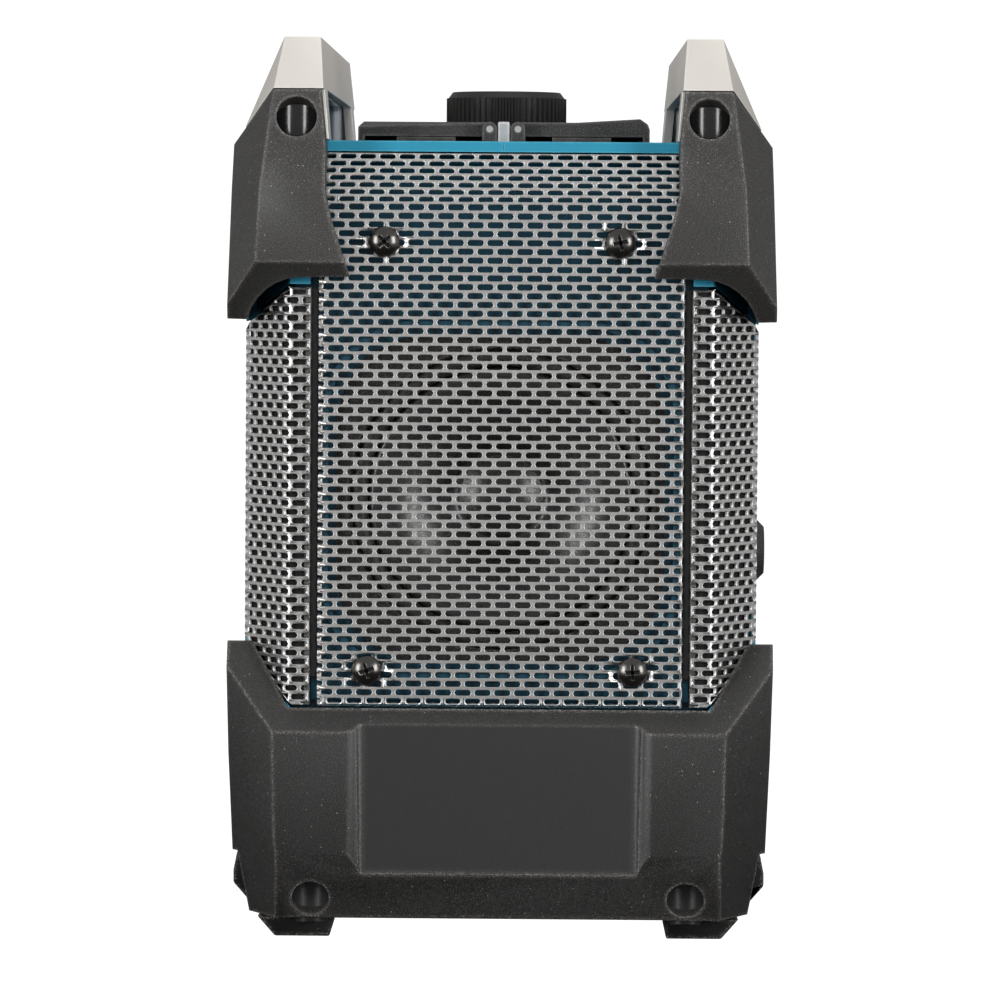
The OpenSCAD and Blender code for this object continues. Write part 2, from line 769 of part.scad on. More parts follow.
foot_out = side_y + foot_proud;
foot_view = [
    [side_y - foot_in + 1.2, 0], [side_y - sole_out, 0], [foot_out, foot_slope], [foot_out, foot_slope + 3.8],
    [foot_out - 1.1, housing_low - 1.5], [side_y - tub_step + fit, housing_low - 1.5],
    [side_y - tub_step + fit, foot_h], [side_y - foot_in, foot_h], [side_y - foot_in, foot_h - 2.2]
];

module feet() color(black) for (sx = [-1, 1], sy = [-1, 1]) side_of(sx, sy) {
    along(foot_x, foot_end) polygon(foot_view);
    intersection() {
        along(foot_end - 1, foot_end + foot_toe) polygon(foot_view);
        cube([far, far, lower_bottom - fit]);
    }
}

// ---- Roll bars ----

bar_foot_z = body_top + fit;
bar_view = [
    [bar_in_low, bar_foot_z], [bar_in_top, bar_top], [bar_in_top + bar_flat, bar_top],
    [side_y, bar_knee], [side_y, bar_foot_z]
];
// Inner and outer faces of the bars at height z, set in by inset
function bar_in(z, inset) =
    bar_in_low + (bar_in_top - bar_in_low) * (z - bar_foot_z) / (bar_top - bar_foot_z) + inset;
function bar_out(z, inset) =
    side_y - (side_y - bar_in_top - bar_flat) * (z - bar_knee) / (bar_top - bar_knee) - inset;
crest_x = bumper_x - bar_crest_back;

module bar_end() {
    top = [crest_x, bar_in_top + bar_flat, bar_top];
    low = [bumper_x - bumper_lean - 0.3, face_out_top, bumper_top];
    side = [crest_x - 4, side_y, bar_knee];
    beyond(top, low, top + [0, 1, 0]);
    beyond(low, side, top);
}

module bar_bumper_cut() difference() {
    along(bumper_back - fit, far) polygon([
        [0, 0], [0, bumper_top + fit], [face_out_top + 0.1, bumper_top + fit],
        [bumper_side - 1.3, bumper_top - 16.4 + fit], [far, bumper_top - 16.4], [far, 0]
    ]);
    bar_root(fit);
}

module roll_bar() color(silver) difference() {
    along(-far / 2, far / 2) polygon(bar_view);
    for (sx = [-1, 1]) side_of(sx, 1) {
        bar_end();
        bar_bumper_cut();
    }
    along(-grip_half - 3 * liner_t, grip_half + 3 * liner_t) polygon([
        [bar_in(bar_foot_z, bar_wall), 0],
        [bar_in(bar_foot_z, bar_wall), bar_foot_z],
        [bar_in(bar_top - bar_wall, bar_wall), bar_top - bar_wall],
        [bar_out(bar_top - bar_wall, bar_wall), bar_top - bar_wall],
        [bar_out(bar_knee, bar_wall), bar_knee], [bar_out(bar_knee, bar_wall), 0]
    ]);
    translate([-grip_half, 0, 0]) cube([2 * grip_half, bar_root_y - 4, grip_top]);
}

grip_y = bar_in(grip_top, bar_wall) + 0.4;
module grip_plan(extra) difference() {
    hw = grip_half + extra;
    d = bar_in_low + grip_depth + extra;
    union() {
        translate([-hw, 0]) square([2 * hw, d - grip_r]);
        translate([-hw + grip_r, 0]) square([2 * (hw - grip_r), d]);
        for (sx = [-1, 1]) translate([sx * (hw - grip_r), d - grip_r]) circle(grip_r);
    }
    translate([-far, -far]) square([2 * far, far + grip_y]);
}

module grip_liner() difference() {
    translate([0, 0, bar_foot_z + fit]) linear_extrude(grip_top + liner_t - bar_foot_z - fit)
        grip_plan(liner_t);
    linear_extrude(grip_top) intersection() {
        grip_plan(0);
        square(far, center = true);
    }
    translate([-grip_half, 0, 0]) cube([2 * grip_half, grip_y + 1, grip_top]);
}

module front_roll_bar() side_of(1, -1) roll_bar();
module rear_roll_bar() roll_bar();
module grip_liners() color(grey) for (sy = [-1, 1]) side_of(1, sy) grip_liner();

// ---- Top deck, covers and knob ----

deck_top = body_top - 0.4;
tray_low = deck_top - tray_depth;
knob_boss_r = knob_d / 2 + 2.6;
cover_half_len = deck_half_len - ear_t - 3 * fit;
hinge_y = spine_half + spine_gap + barrel_r;
hinge_z = cover_top - barrel_r;
tray_in = hinge_y + barrel_r + 1;
notch_y = hinge_y + norm([knob_d / 2 - hinge_y + 0.6, knob_top - hinge_z]) + 0.4;

module top_deck() color(black) difference() {
    union() {
        translate([-deck_half_len + fit, -deck_half_w + fit, tray_low - deck_t])
            cube([2 * (deck_half_len - fit), 2 * (deck_half_w - fit), deck_top - tray_low + deck_t]);
        // Ears that hold the covers' hinge pins
        for (sx = [-1, 1], sy = [-1, 1]) side_of(sx, sy) {
            translate([cover_half_len + fit, hinge_y, hinge_z]) rotate([0, 90, 0])
                cylinder(h = ear_t, r = barrel_r);
            translate([cover_half_len + fit, hinge_y - barrel_r, deck_top - 1])
                cube([ear_t, 2 * barrel_r, hinge_z - deck_top + 1]);
        }
        // Saddles for the ferrite rod
        for (sx = [-1, 1]) translate([sx * ferrite_len / 3 - 3, ferrite_y - ferrite_r - 1.5, ferrite_z])
            cube([6, 2 * ferrite_r + 3, tray_low - deck_t - ferrite_z + eps]);
    }
    for (sy = [-1, 1]) side_of(1, sy) difference() {
        translate([-deck_half_len + fit + deck_t, tray_in, tray_low])
            cube([2 * (deck_half_len - fit - deck_t), deck_half_w - fit - deck_t - tray_in, far]);
        cylinder(h = far, r = knob_boss_r);
    }
    cylinder(h = far, r = shaft_r + 1.2);
    translate([-encoder_w / 2 - 1, -encoder_w / 2 - 1, 0]) cube([encoder_w + 2, encoder_w + 2, deck_top - 4]);
    for (sx = [-1, 1], sy = [-1, 1]) side_of(sx, sy)
        translate([cover_half_len + fit - 1, hinge_y, hinge_z]) rotate([0, 90, 0])
            cylinder(h = far, r = cover_pin_r + 0.02);
    translate([-far / 2, ferrite_y, ferrite_z]) rotate([0, 90, 0]) cylinder(h = far, r = ferrite_r + fit);
}
ferrite_y = -28;
ferrite_z = tray_low - deck_t - ferrite_r - 1.5;

module ferrite_aerial() color([0.2, 0.18, 0.17]) translate([-ferrite_len / 2, ferrite_y, ferrite_z])
    rotate([0, 90, 0]) cylinder(h = ferrite_len, r = ferrite_r);

module cover(lip) color(black) difference() {
    union() {
        translate([-cover_half_len, hinge_y, hinge_z]) rotate([0, 90, 0])
            cylinder(h = 2 * cover_half_len, r = barrel_r);
        along(-cover_half_len, cover_half_len) polygon([
            [hinge_y, hinge_z - barrel_r], [hinge_y, cover_top], [cover_out / 2, cover_top],
            [cover_out - 3.2, cover_top + lip], [cover_out - lip, cover_top + lip],
            [cover_out, cover_top - 2], [cover_out, deck_top + fit], [cover_out - 2, deck_top + fit],
            [cover_out - 2, hinge_z - barrel_r]
        ]);
    }
    translate([-notch_half, -far / 2, 0]) cube([2 * notch_half, far / 2 + notch_y, far]);
    for (sx = [-1, 1]) side_of(sx, 1) {
        translate([cover_half_len - cover_pin_len, hinge_y, hinge_z]) rotate([0, 90, 0])
            cylinder(h = far, r = cover_pin_r + running);
        translate([cover_half_len - 1.2, end_dip_y, 0]) cube([far, end_dip_w, deck_top + 2.2]);
    }
}
notch_half = knob_d / 2 + 1.6;

module front_top_cover() side_of(1, -1) cover(finger_lip);
module rear_top_cover() cover(0);

module cover_spine() color(grey) difference() {
    translate([-cover_half_len - fit - ear_t, -spine_half, deck_top])
        cube([2 * (cover_half_len + fit + ear_t), 2 * spine_half, cover_top - deck_top]);
    cylinder(h = far, r = shaft_r + 3);
}

module hinge_pins() color(steel) {
    for (sx = [-1, 1], sy = [-1, 1]) side_of(sx, sy)
        translate([cover_half_len - cover_pin_len + 1, hinge_y, hinge_z]) rotate([0, 90, 0])
            cylinder(h = cover_pin_len - 1 + fit + ear_t - 1, r = cover_pin_r);
    door_pins(-running);
}

module ribbed(r, n, depth) polygon([for (i = [0 : 4 * n - 1])
    let (q = i % 4, rr = q < 2 ? r : r - depth) [rr * cos(90 * (i - 0.5) / n), rr * sin(90 * (i - 0.5) / n)]]);

knob_low = cover_top + 0.5;
module top_knob() color(black) difference() {
    union() {
        translate([0, 0, knob_low]) linear_extrude(knob_top - knob_low - knob_chamfer)
            ribbed(knob_d / 2, knob_ribs, rib_depth);
        translate([0, 0, knob_top - knob_chamfer])
            rotate_extrude() polygon([
                [0, 0], [knob_d / 2 - rib_depth, 0],
                [knob_d / 2 - knob_chamfer, knob_chamfer], [0, knob_chamfer]
            ]);
    }
    translate([0, 0, knob_low - 1]) cylinder(h = knob_top - knob_low - 3, r = shaft_r + running);
}

module top_encoder() color(grey) {
    translate([-encoder_w / 2, -encoder_w / 2, deck_top - encoder_h - 4])
        cube([encoder_w, encoder_w, encoder_h]);
    translate([0, 0, deck_top - 4]) cylinder(h = knob_top - deck_top - 1, r = shaft_r);
}

// ---- Grilles, seals and screws ----

module centre_grille() color(steel) difference() {
    intersection() {
        centre_field(0, centre_half);
        difference() {
            cabinet(0, 0, 0, 0, body_top);
            cabinet(sheet_t, sheet_t, sheet_t, -1, body_top + 1);
        }
    }
    grille_screw_places() along_x_hole(screw_shank_d + 2 * fit, 0, far);
}

module corner_grille() color(steel) intersection() {
    corner_field(0);
    difference() {
        cabinet(0, 0, 0, 0, body_top);
        cabinet(sheet_t, sheet_t, sheet_t, -1, body_top + 1);
    }
}

module seal_strips() color(black) for (sx = [-1, 1], sy = [-1, 1]) side_of(sx, sy)
    translate([end_panel_x + fit, end_panel_half + fit, grille_low + 0.6])
        cube([end_recess - 2 * fit - sheet_t, seal_w - fit - 0.5, corner_grille_top - grille_low - 1]);

module grille_screws() color(black) for (sx = [-1, 1]) side_of(sx, 1) grille_screw_places() {
    along_x_hole(screw_shank_d, end_panel_x - 8, end_x + 0.5);
    difference() {
        union() {
            along_x_hole(screw_head_d, end_x, end_x + screw_head_h / 2);
            along_x_hole(screw_head_d - 2, end_x, end_x + screw_head_h);
        }
        translate([end_x + screw_head_h - 1, -2, -0.5]) cube([2, 4, 1]);
        translate([end_x + screw_head_h - 1, -0.5, -2]) cube([2, 1, 4]);
    }
}

// ---- Front panel, keys and dial ----

panel_y = -side_y;
panel_mid = (panel_low + panel_high) / 2;
board_y = panel_y + board_back;
key_names_x = [for (i = [0 : 5]) (i - 2.5) * (panel_w - 2 * key_edge) / 5];
aux_x = panel_w / 2 - aux_edge;
dc_x = panel_w / 2 - dc_edge;
dial_x = panel_w / 2 - dial_edge;
cap_x = dc_x;
socket_front = cap_t + fit;
socket_bottom = 1.6;
cap_left = cap_x - cap_w / 2;
cap_hinge_x = cap_left - cap_roll + 0.2;
stop_t = 1;

// A block on the front panel, w wide and h high round x, z, from y0 to y1
module front_block(x, z, w, h, y0, y1)
    translate([x - w / 2, panel_y + y0, z - h / 2]) cube([w, y1 - y0, h]);
module front_rod(x, z, r, y0, y1)
    translate([x, panel_y + y1, z]) rotate([90, 0, 0]) cylinder(h = y1 - y0, r = r);

module panel_post_places() for (sx = [-1, 1], z = [panel_low + 8, panel_high - 8])
    translate([sx * (panel_w / 2 - 7), 0, z]) children();

module front_panel() color(black) difference() {
    union() {
        front_block(0, panel_mid, panel_w - 2 * fit, panel_high - panel_low - 2 * fit, 0, panel_t);
        panel_post_places() front_rod(0, 0, 3.5, panel_t - 1, board_back);
        front_rod(aux_x, dial_z, socket_d / 2 + 1.5, panel_t - 1, panel_t + 4);
        front_rod(dc_x, dial_z, socket_d / 2 + 1.5, panel_t - 1, panel_t + 4);
        front_block(0, lens_z, lens_w + 4, lens_h + 4, panel_t - 1, panel_t + 1);
    }
    front_block(0, lens_z, lens_w, lens_h, -1, lens_t + 0.2);
    front_block(0, lens_z, lens_w - 4, lens_h - 4, 0, board_back);
    for (x = key_names_x) front_block(x, key_z, key_w + 2 * fit, key_h + 2 * fit, -1, board_back);
    front_rod(-dial_x, dial_z, shaft_r + 1, -1, board_back);
    front_rod(-dial_x, dial_z, dial_r + 1, -1, 1);
    front_block(cap_x, dial_z, cap_w + 2 * fit, cap_h + 2 * fit, -1, cap_t + 0.1);
    front_block(cap_hinge_x, dial_z, 2 * cap_roll + 2 * fit, cap_h + 2 * fit, -1, cap_t + 0.9);
    for (x = [aux_x, dc_x]) front_rod(x, dial_z, socket_d / 2 + 0.1, 0, board_back);
}

module display_lens() color([0.1, 0.12, 0.13])
    front_block(0, lens_z, lens_w - 2 * fit, lens_h - 2 * fit, -0.1, lens_t + 0.2);

module display_module() color([0.35, 0.42, 0.3]) {
    front_block(0, lens_z, lens_w, lens_h, panel_t + 1, panel_t + 1 + module_t);
    for (sx = [-1, 1]) front_block(sx * lens_w / 3, lens_z, 8, 6, panel_t + module_t, board_back);
}

module key(i) color([0.2, 0.2, 0.21]) {
    x = key_names_x[i];
    front_block(x, key_z, key_w, key_h, -key_proud, panel_t + 0.5);
    front_block(x, key_z, key_w + 2 * fit + 2 * key_rim, key_h + 2 * fit + 2 * key_rim,
        panel_t + 0.1, panel_t + 0.1 + stop_t);
    front_rod(x, key_z, 2, panel_t + 1, board_back - key_travel - 0.2 - switch_h);
}
switch_h = 3;

module power_key() key(0);
module source_key() key(1);
module menu_key() key(2);
module preset_1_key() key(3);
module preset_2_key() key(4);
module preset_3_key() key(5);

module tuning_dial() color(black) translate([-dial_x, panel_y, dial_z]) rotate([90, 0, 0])
    difference() {
        rotate_extrude() polygon([
            [0, -0.6], [dial_r, -0.6], [dial_r, dial_proud - dial_r + dial_face_r],
            [dial_face_r, dial_proud], [0, dial_proud]
        ]);
        translate([0, 0, -2]) cylinder(h = dial_proud + 0.8, r = shaft_r + running);
    }

module dial_encoder() color(grey) {
    front_block(-dial_x, dial_z, dial_encoder_w, dial_encoder_w, panel_t + encoder_gap, board_back);
    front_rod(-dial_x, dial_z, shaft_r, 1.6 - dial_proud, panel_t + encoder_gap + 1);
}

module main_board() color([0.1, 0.4, 0.2]) {
    board_rear = board_back + board_t;
    front_block(0, panel_mid, panel_w - 2 * board_edge, board_h, board_back, board_rear);
    front_block(-chip_off, panel_mid, chip_w, chip_w, board_rear, board_rear + 2);
    front_block(tuner_w, panel_mid + chip_off, tuner_w, tuner_h, board_rear, board_rear + tuner_d);
    for (x = key_names_x) front_block(x, key_z, 6, 6, board_back - switch_h, board_back);
}

module socket_cap() color(rubber) {
    front_block(cap_x, dial_z, cap_w, cap_h, 0, cap_t);
    translate([cap_hinge_x, panel_y + cap_roll, dial_z - cap_h / 2]) cylinder(h = cap_h, r = cap_roll);
    front_block(cap_x - cap_w / 2, dial_z, 2 * cap_roll, cap_h, cap_roll - 0.8, cap_t);
    front_block(cap_x + cap_w / 2 - 3, dial_z, 3, 6, -0.8, 0.2);
}

module socket(x, d) color(black) difference() {
    front_rod(x, dial_z, socket_d / 2, socket_front, board_back);
    front_rod(x, dial_z, d / 2, -1, board_back - socket_bottom);
}
module aux_socket() socket(aux_x, aux_d);
module dc_socket() {
    socket(dc_x, dc_d);
    color(steel) front_rod(dc_x, dial_z, 1, socket_front + 2, board_back - 1);
}

// ---- Battery bay ----

module door_barrel(r, half) translate([-half, door_axis_y, door_axis_z]) rotate([0, 90, 0])
    cylinder(h = 2 * half, r = r);
module door_pins(grow) for (sx = [-1, 1]) side_of(sx, 1)
    translate([door_w / 2 - door_pin_len / 2, door_axis_y, door_axis_z]) rotate([0, 90, 0])
        cylinder(h = door_pin_len, r = door_pin_r + running + grow);

module battery_door() color(black) difference() {
    union() {
        translate([-door_w / 2, side_y - door_t, door_axis_z]) cube([door_w, door_t, door_h - door_barrel_r]);
        door_barrel(door_barrel_r, door_w / 2);
    }
    translate([-door_pull_w / 2, side_y - 1.2, door_low + door_h - door_pull_h])
        cube([door_pull_w, far, 2 * door_pull_h]);
    for (sx = [-1, 1]) side_of(sx, 1)
        translate([door_w / 2 - door_pin_len / 2 - 1, door_axis_y, door_axis_z]) rotate([0, 90, 0])
            cylinder(h = far, r = door_pin_r + running);
}

pack_out_y = side_y - door_t - fit;
module battery_pack() color([0.12, 0.12, 0.13]) difference() {
    translate([-pack_w / 2, pack_out_y - pack_d - terminal_d, bay_low + fit])
        cube([pack_w, pack_d + terminal_d - fit, pack_h]);
    translate([-terminal_w / 2 - fit, bay_in_y, bay_low + pack_h / 2 - terminal_h / 2 - fit])
        cube([terminal_w + 2 * fit, terminal_d + fit, terminal_h + 2 * fit]);
}
module terminal_block() color([0.8, 0.65, 0.2])
    translate([-terminal_w / 2, bay_in_y, bay_low + pack_h / 2 - terminal_h / 2])
        cube([terminal_w, terminal_d, terminal_h]);

// ---- Speakers ----

// A turned part on the speaker's axis: points give distance from the axis and place along X
module turned(points)
    translate([0, 0, speaker_z]) rotate([0, 90, 0]) rotate_extrude(angle = 360) polygon(points);

flange_x = end_panel_x;
cone_front = flange_x - flange_t;
cone_back = cone_front - cone_depth;
surround_out = cone_r + surround_w;
magnet_front = cone_back - 10;

module basket() color(black) difference() {
    union() {
        speaker_square(flange_half, rim_r - 0.5, flange_x - flange_t, flange_x);
        turned([
            [surround_out + 2.5, flange_x - 1], [surround_out + 2.5, flange_x - 6],
            [magnet_r - 4, magnet_front], [magnet_r - 7, magnet_front],
            [magnet_r - 7, magnet_front + 2], [magnet_r - 5, magnet_front + 2],
            [surround_out + 0.5, flange_x - 5], [surround_out + 0.5, flange_x - 1]
        ]);
    }
    translate([0, 0, speaker_z]) along_x_hole(2 * surround_out + 0.6, flange_x - 4, end_x);
}

module magnet() color(grey) turned([
    [0, magnet_front - magnet_t], [magnet_r, magnet_front - magnet_t], [magnet_r, magnet_front],
    [neck_r - 2, magnet_front], [neck_r - 2, cone_back - cone_swing - 2], [0, cone_back - cone_swing - 2]
]);

module cone() color([0.12, 0.12, 0.13]) turned([
    [0, cone_back + 4], [neck_r * 0.7, cone_back + 2.6], [neck_r, cone_back + 0.4],
    [cone_r, cone_front - 1], [cone_r, cone_front - 1 - cone_t], [neck_r, cone_back - cone_t],
    [neck_r, magnet_front + cone_swing + 1], [neck_r - 1, magnet_front + cone_swing + 1],
    [neck_r - 1, cone_back], [neck_r * 0.7, cone_back + 1.6], [0, cone_back + 3]
]);

module surround() color(rubber) {
    mid = (cone_r + surround_out) / 2;
    r = surround_w / 2 - fit;
    translate([0, 0, speaker_z]) rotate([0, 90, 0]) rotate_extrude()
        translate([mid, cone_front - 2]) intersection() {
            difference() {
                circle(r);
                circle(r - 0.8);
            }
            translate([-r, 0]) square(2 * r);
        }
    turned([
        [surround_out - fit - 0.8, cone_front - 2.4], [surround_out + 0.3, cone_front - 2.4],
        [surround_out + 0.3, cone_front - 1.6], [surround_out - fit - 0.8, cone_front - 1.6]
    ]);
}

// ---- Whip aerial ----

whip_y = side_y + fit + fork_gap / 2 + 0.35;
whip_r = whip_d / 2;
whip_pin_r = 0.6;
whip_tip = 0.4;
spindle_len = corner_recess + wall + 3 * fit + 1.7;

module whip_knuckle() color(steel) difference() {
    translate([whip_x, side_y + fit, whip_z]) rotate([-90, 0, 0]) union() {
        cylinder(h = bumper_proud - 2 * fit, d = knuckle_d);
        translate([0, 0, -spindle_len]) cylinder(h = spindle_len + 0.2, r = spindle_r);
        translate([0, 0, -spindle_len]) cylinder(h = 1.6, r = spindle_r + 1.5);
    }
    difference() {
        translate([whip_x - far - 1, whip_y - fork_gap / 2, whip_z - fork_gap / 2])
            cube([far + 1 + whip_r + fit, fork_gap + 2, fork_gap]);
        whip_pin(0);
    }
}

module whip_pin(grow) translate([whip_x, whip_y, whip_z - fork_gap])
    cylinder(h = 2 * fork_gap, r = whip_pin_r + grow);

module folded_whip(extra) translate([whip_x - whip_len - extra, whip_y, whip_z]) rotate([0, 90, 0]) {
    cylinder(h = whip_len, r = whip_r + extra);
    cylinder(h = 5 + 2 * extra, r = whip_r + whip_tip + extra);
}

module whip_aerial() color(steel) difference() {
    union() {
        folded_whip(0);
        translate([whip_x, whip_y, whip_z]) sphere(r = whip_r);
    }
    whip_pin(running);
}

// ---- Left and right copies ----

module left_end_panel() side_of(-1, 1) end_panel();
module right_end_panel() end_panel();
module left_centre_grille() side_of(-1, 1) centre_grille();
module right_centre_grille() centre_grille();
module left_front_grille() side_of(-1, -1) corner_grille();
module left_rear_grille() side_of(-1, 1) corner_grille();
module right_front_grille() side_of(1, -1) corner_grille();
module right_rear_grille() corner_grille();
module left_front_bumper() side_of(-1, -1) upper_bumper();
module left_rear_bumper() color(rubber) difference() {
    side_of(-1, 1) upper_bumper();
    folded_whip(whip_room);
}
module right_front_bumper() side_of(1, -1) upper_bumper();
module right_rear_bumper() upper_bumper();
module left_lower_bumper() side_of(-1, 1) lower_bumper();
module right_lower_bumper() lower_bumper();
module left_basket() side_of(-1, 1) basket();
module right_basket() basket();
module left_magnet() side_of(-1, 1) magnet();
module right_magnet() magnet();
module left_cone() side_of(-1, 1) cone();
module right_cone() cone();
module left_surround() side_of(-1, 1) surround();
module right_surround() surround();

front_housing();
rear_housing();
left_end_panel();
right_end_panel();
top_deck();
base_tub();
left_centre_grille();
right_centre_grille();
left_front_grille();
left_rear_grille();
right_front_grille();
right_rear_grille();
seal_strips();
grille_screws();
left_front_bumper();
left_rear_bumper();
right_front_bumper();
right_rear_bumper();
left_lower_bumper();
right_lower_bumper();
feet();
base_screws();
front_roll_bar();
rear_roll_bar();
grip_liners();
top_knob();
top_encoder();
front_top_cover();
rear_top_cover();
cover_spine();
hinge_pins();
front_panel();
display_lens();
display_module();
power_key();
source_key();
menu_key();
preset_1_key();
preset_2_key();
preset_3_key();
tuning_dial();
dial_encoder();
main_board();
socket_cap();
aux_socket();
dc_socket();
battery_door();
battery_pack();
terminal_block();
left_basket();
left_magnet();
left_cone();
left_surround();
right_basket();
right_magnet();
right_cone();
right_surround();
whip_knuckle();
whip_aerial();
ferrite_aerial();
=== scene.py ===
# %% [markdown]
# A jobsite radio is built here around its construction model, which is loaded as a fixed frame.
# The frame holds every working part at its real place and size. This script only dresses it: it
# adds what a construction model leaves plain, such as punched sheet metal, softened edges and
# screw heads, and it gives every part a finish. Nothing added later may grow past it.

# %% Load the frame
import json
from math import asin, atan2, ceil, copysign, cos, floor, hypot, pi, radians, sin, tau
import bmesh
import bpy
from bmesh import ops
from mathutils import Matrix, Vector


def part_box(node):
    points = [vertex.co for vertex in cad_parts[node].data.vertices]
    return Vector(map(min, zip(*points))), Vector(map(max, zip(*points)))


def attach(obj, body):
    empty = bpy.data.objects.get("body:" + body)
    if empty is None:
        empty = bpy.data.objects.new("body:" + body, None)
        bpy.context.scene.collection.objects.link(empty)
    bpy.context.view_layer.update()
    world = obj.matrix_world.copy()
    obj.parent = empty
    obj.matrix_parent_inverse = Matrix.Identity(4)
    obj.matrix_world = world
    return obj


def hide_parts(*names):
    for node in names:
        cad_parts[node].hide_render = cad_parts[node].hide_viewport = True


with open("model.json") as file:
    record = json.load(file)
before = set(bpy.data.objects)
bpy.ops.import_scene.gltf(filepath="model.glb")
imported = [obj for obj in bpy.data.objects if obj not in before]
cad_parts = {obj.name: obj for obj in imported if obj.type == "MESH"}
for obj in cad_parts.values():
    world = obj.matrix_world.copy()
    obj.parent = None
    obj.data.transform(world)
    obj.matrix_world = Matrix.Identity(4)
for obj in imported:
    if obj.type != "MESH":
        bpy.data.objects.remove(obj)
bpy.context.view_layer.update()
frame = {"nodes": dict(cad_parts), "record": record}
MM = 0.001

# %% [markdown]
# The photograph looks squarely at the radio's left end, through a long lens about 1.6 m away.
# Lines that run along the radio meet at one point a little above the middle of the picture,
# which gives the camera's height and its tilt. The background is pure white and the light is
# soft: two tall strips at the sides, whose streaks show on the screw heads, and a wide panel
# overhead. Two more panels fill in the light without showing in reflections. The world is white
# to the camera only, so that the metal has something darker to reflect.

# %% Camera
camera_place = Vector((-1.712, -0.013, 0.210))
camera_aim = Vector((-0.137, 0.0001, 0.1334))
camera_roll = radians(0.4)
lens_mm, sensor_mm = 189.8, 36

def placed(name, data):
    """A new object in the scene, at the origin."""
    made = bpy.data.objects.new(name, data)
    bpy.context.scene.collection.objects.link(made)
    return made

def turn_to(place, target):
    """The turn of something that stands at one point and looks towards another."""
    return (Vector(target) - Vector(place)).to_track_quat("-Z", "Y").to_matrix()

camera_data = bpy.data.cameras.new("photo_camera")
camera_data.lens = lens_mm
camera_data.sensor_width = sensor_mm
camera = placed("photo_camera", camera_data)
aim = turn_to(camera_place, camera_aim) @ Matrix.Rotation(camera_roll, 3, "Z")
camera.matrix_world = Matrix.Translation(camera_place) @ aim.to_4x4()
bpy.context.scene.camera = camera
print("camera is", round((camera_aim - camera_place).length, 3), "m from the near end")

# %% Studio lights
middle = Vector((0, 0, 0.13))

def soft_panel(name, place, width, height, power):
    """A rectangular soft light of some watts that shines from one point on the radio."""
    data = bpy.data.lights.new(name, "AREA")
    data.shape = "RECTANGLE"
    data.size = width
    data.size_y = height
    data.energy = power
    panel = placed(name, data)
    panel.matrix_world = Matrix.Translation(place) @ turn_to(place, middle).to_4x4()
    return panel

soft_panel("left_strip", (-1.25, 1.2, 0.35), 0.42, 1.0, 15)
soft_panel("right_strip", (-1.25, -1.2, 0.35), 0.42, 1.0, 15)
soft_panel("top_panel", (0.55, 0, 1.7), 1.0, 1.8, 6)
soft_panel("end_fill", (-1.7, 0, 1.3), 1.0, 0.6, 12).visible_glossy = False
soft_panel("back_panel", (1.5, 0, 0.9), 1.4, 1.2, 7).visible_glossy = False
print("two strips and three panels placed")

# %% Helpers for nodes
def display(red, green, blue):
    """A colour from display values of 0 to 255, as the linear values a shader takes."""
    return tuple(c / 12.92 if c <= 0.04045 else ((c + 0.055) / 1.055) ** 2.4
                 for c in (v / 255 for v in (red, green, blue))) + (1.0,)

def fill_in(node, values):
    """Set a node's inputs by name."""
    for key, value in values.items():
        node.inputs[key.replace("_", " ")].default_value = value
    return node

def add(tree, kind, **values):
    """Add a node with some of its inputs set."""
    return fill_in(tree.nodes.new("ShaderNode" + kind), values)

def join(source, target):
    """Link an output to an input, or give the input a number or a colour in display values."""
    if isinstance(source, bpy.types.NodeSocket):
        target.id_data.links.new(source, target)
    else:
        target.default_value = display(*source) if isinstance(source, tuple) else source

def maths(operation, first, second=0.0):
    """A Math node of an output and another output or a number."""
    node = add(first.id_data, "Math")
    node.operation = operation
    join(first, node.inputs[0])
    join(second, node.inputs[1])
    return node.outputs[0]

def absolute(value):
    """The size of a value without its sign."""
    return maths("ABSOLUTE", value)

def all_of(mask, *others):
    """Several masks multiplied, which leaves the places that all of them hold."""
    for other in others:
        mask = maths("MULTIPLY", mask, other)
    return mask

def blend(factor, low, high, kind="RGBA"):
    """Mix two colours, or two numbers where kind is FLOAT, by a factor."""
    node = add(factor.id_data, "Mix")
    node.data_type = kind
    wanted = "VALUE" if kind == "FLOAT" else kind
    join(factor, node.inputs["Factor"])
    for name, side in (("A", low), ("B", high)):
        join(side, [s for s in node.inputs if s.name == name and s.type == wanted][0])
    return [s for s in node.outputs if s.type == wanted][0]

def stretch(value, low, high, to_low=0.0, to_high=1.0):
    """Map a value from one range to another, clamped; each end is a socket or a number."""
    node = add(value.id_data, "MapRange")
    for socket, given in zip(node.inputs, (value, low, high, to_low, to_high)):
        join(given, socket)
    return node.outputs["Result"]

def split(vector):
    """The X, Y and Z of a vector."""
    node = add(vector.id_data, "SeparateXYZ")
    join(vector, node.inputs[0])
    return node.outputs

def place_on(tree):
    """Where a point lies on the piece, in metres."""
    return add(tree, "TexCoord").outputs["Object"]

def pattern(tree, kind, scale, **values):
    """A texture that is fixed to the piece; its scale is a socket or a number."""
    node = add(tree, kind, **values)
    join(place_on(tree), node.inputs["Vector"])
    join(scale, node.inputs["Scale"])
    return node.outputs

def by_ray(tree, camera, glossy, other):
    """A strength that depends on the kind of ray: what the camera sees, what shines, the rest."""
    path = add(tree, "LightPath").outputs
    shone = blend(path["Is Glossy Ray"], other, glossy, "FLOAT")
    return blend(path["Is Camera Ray"], shone, camera, "FLOAT")

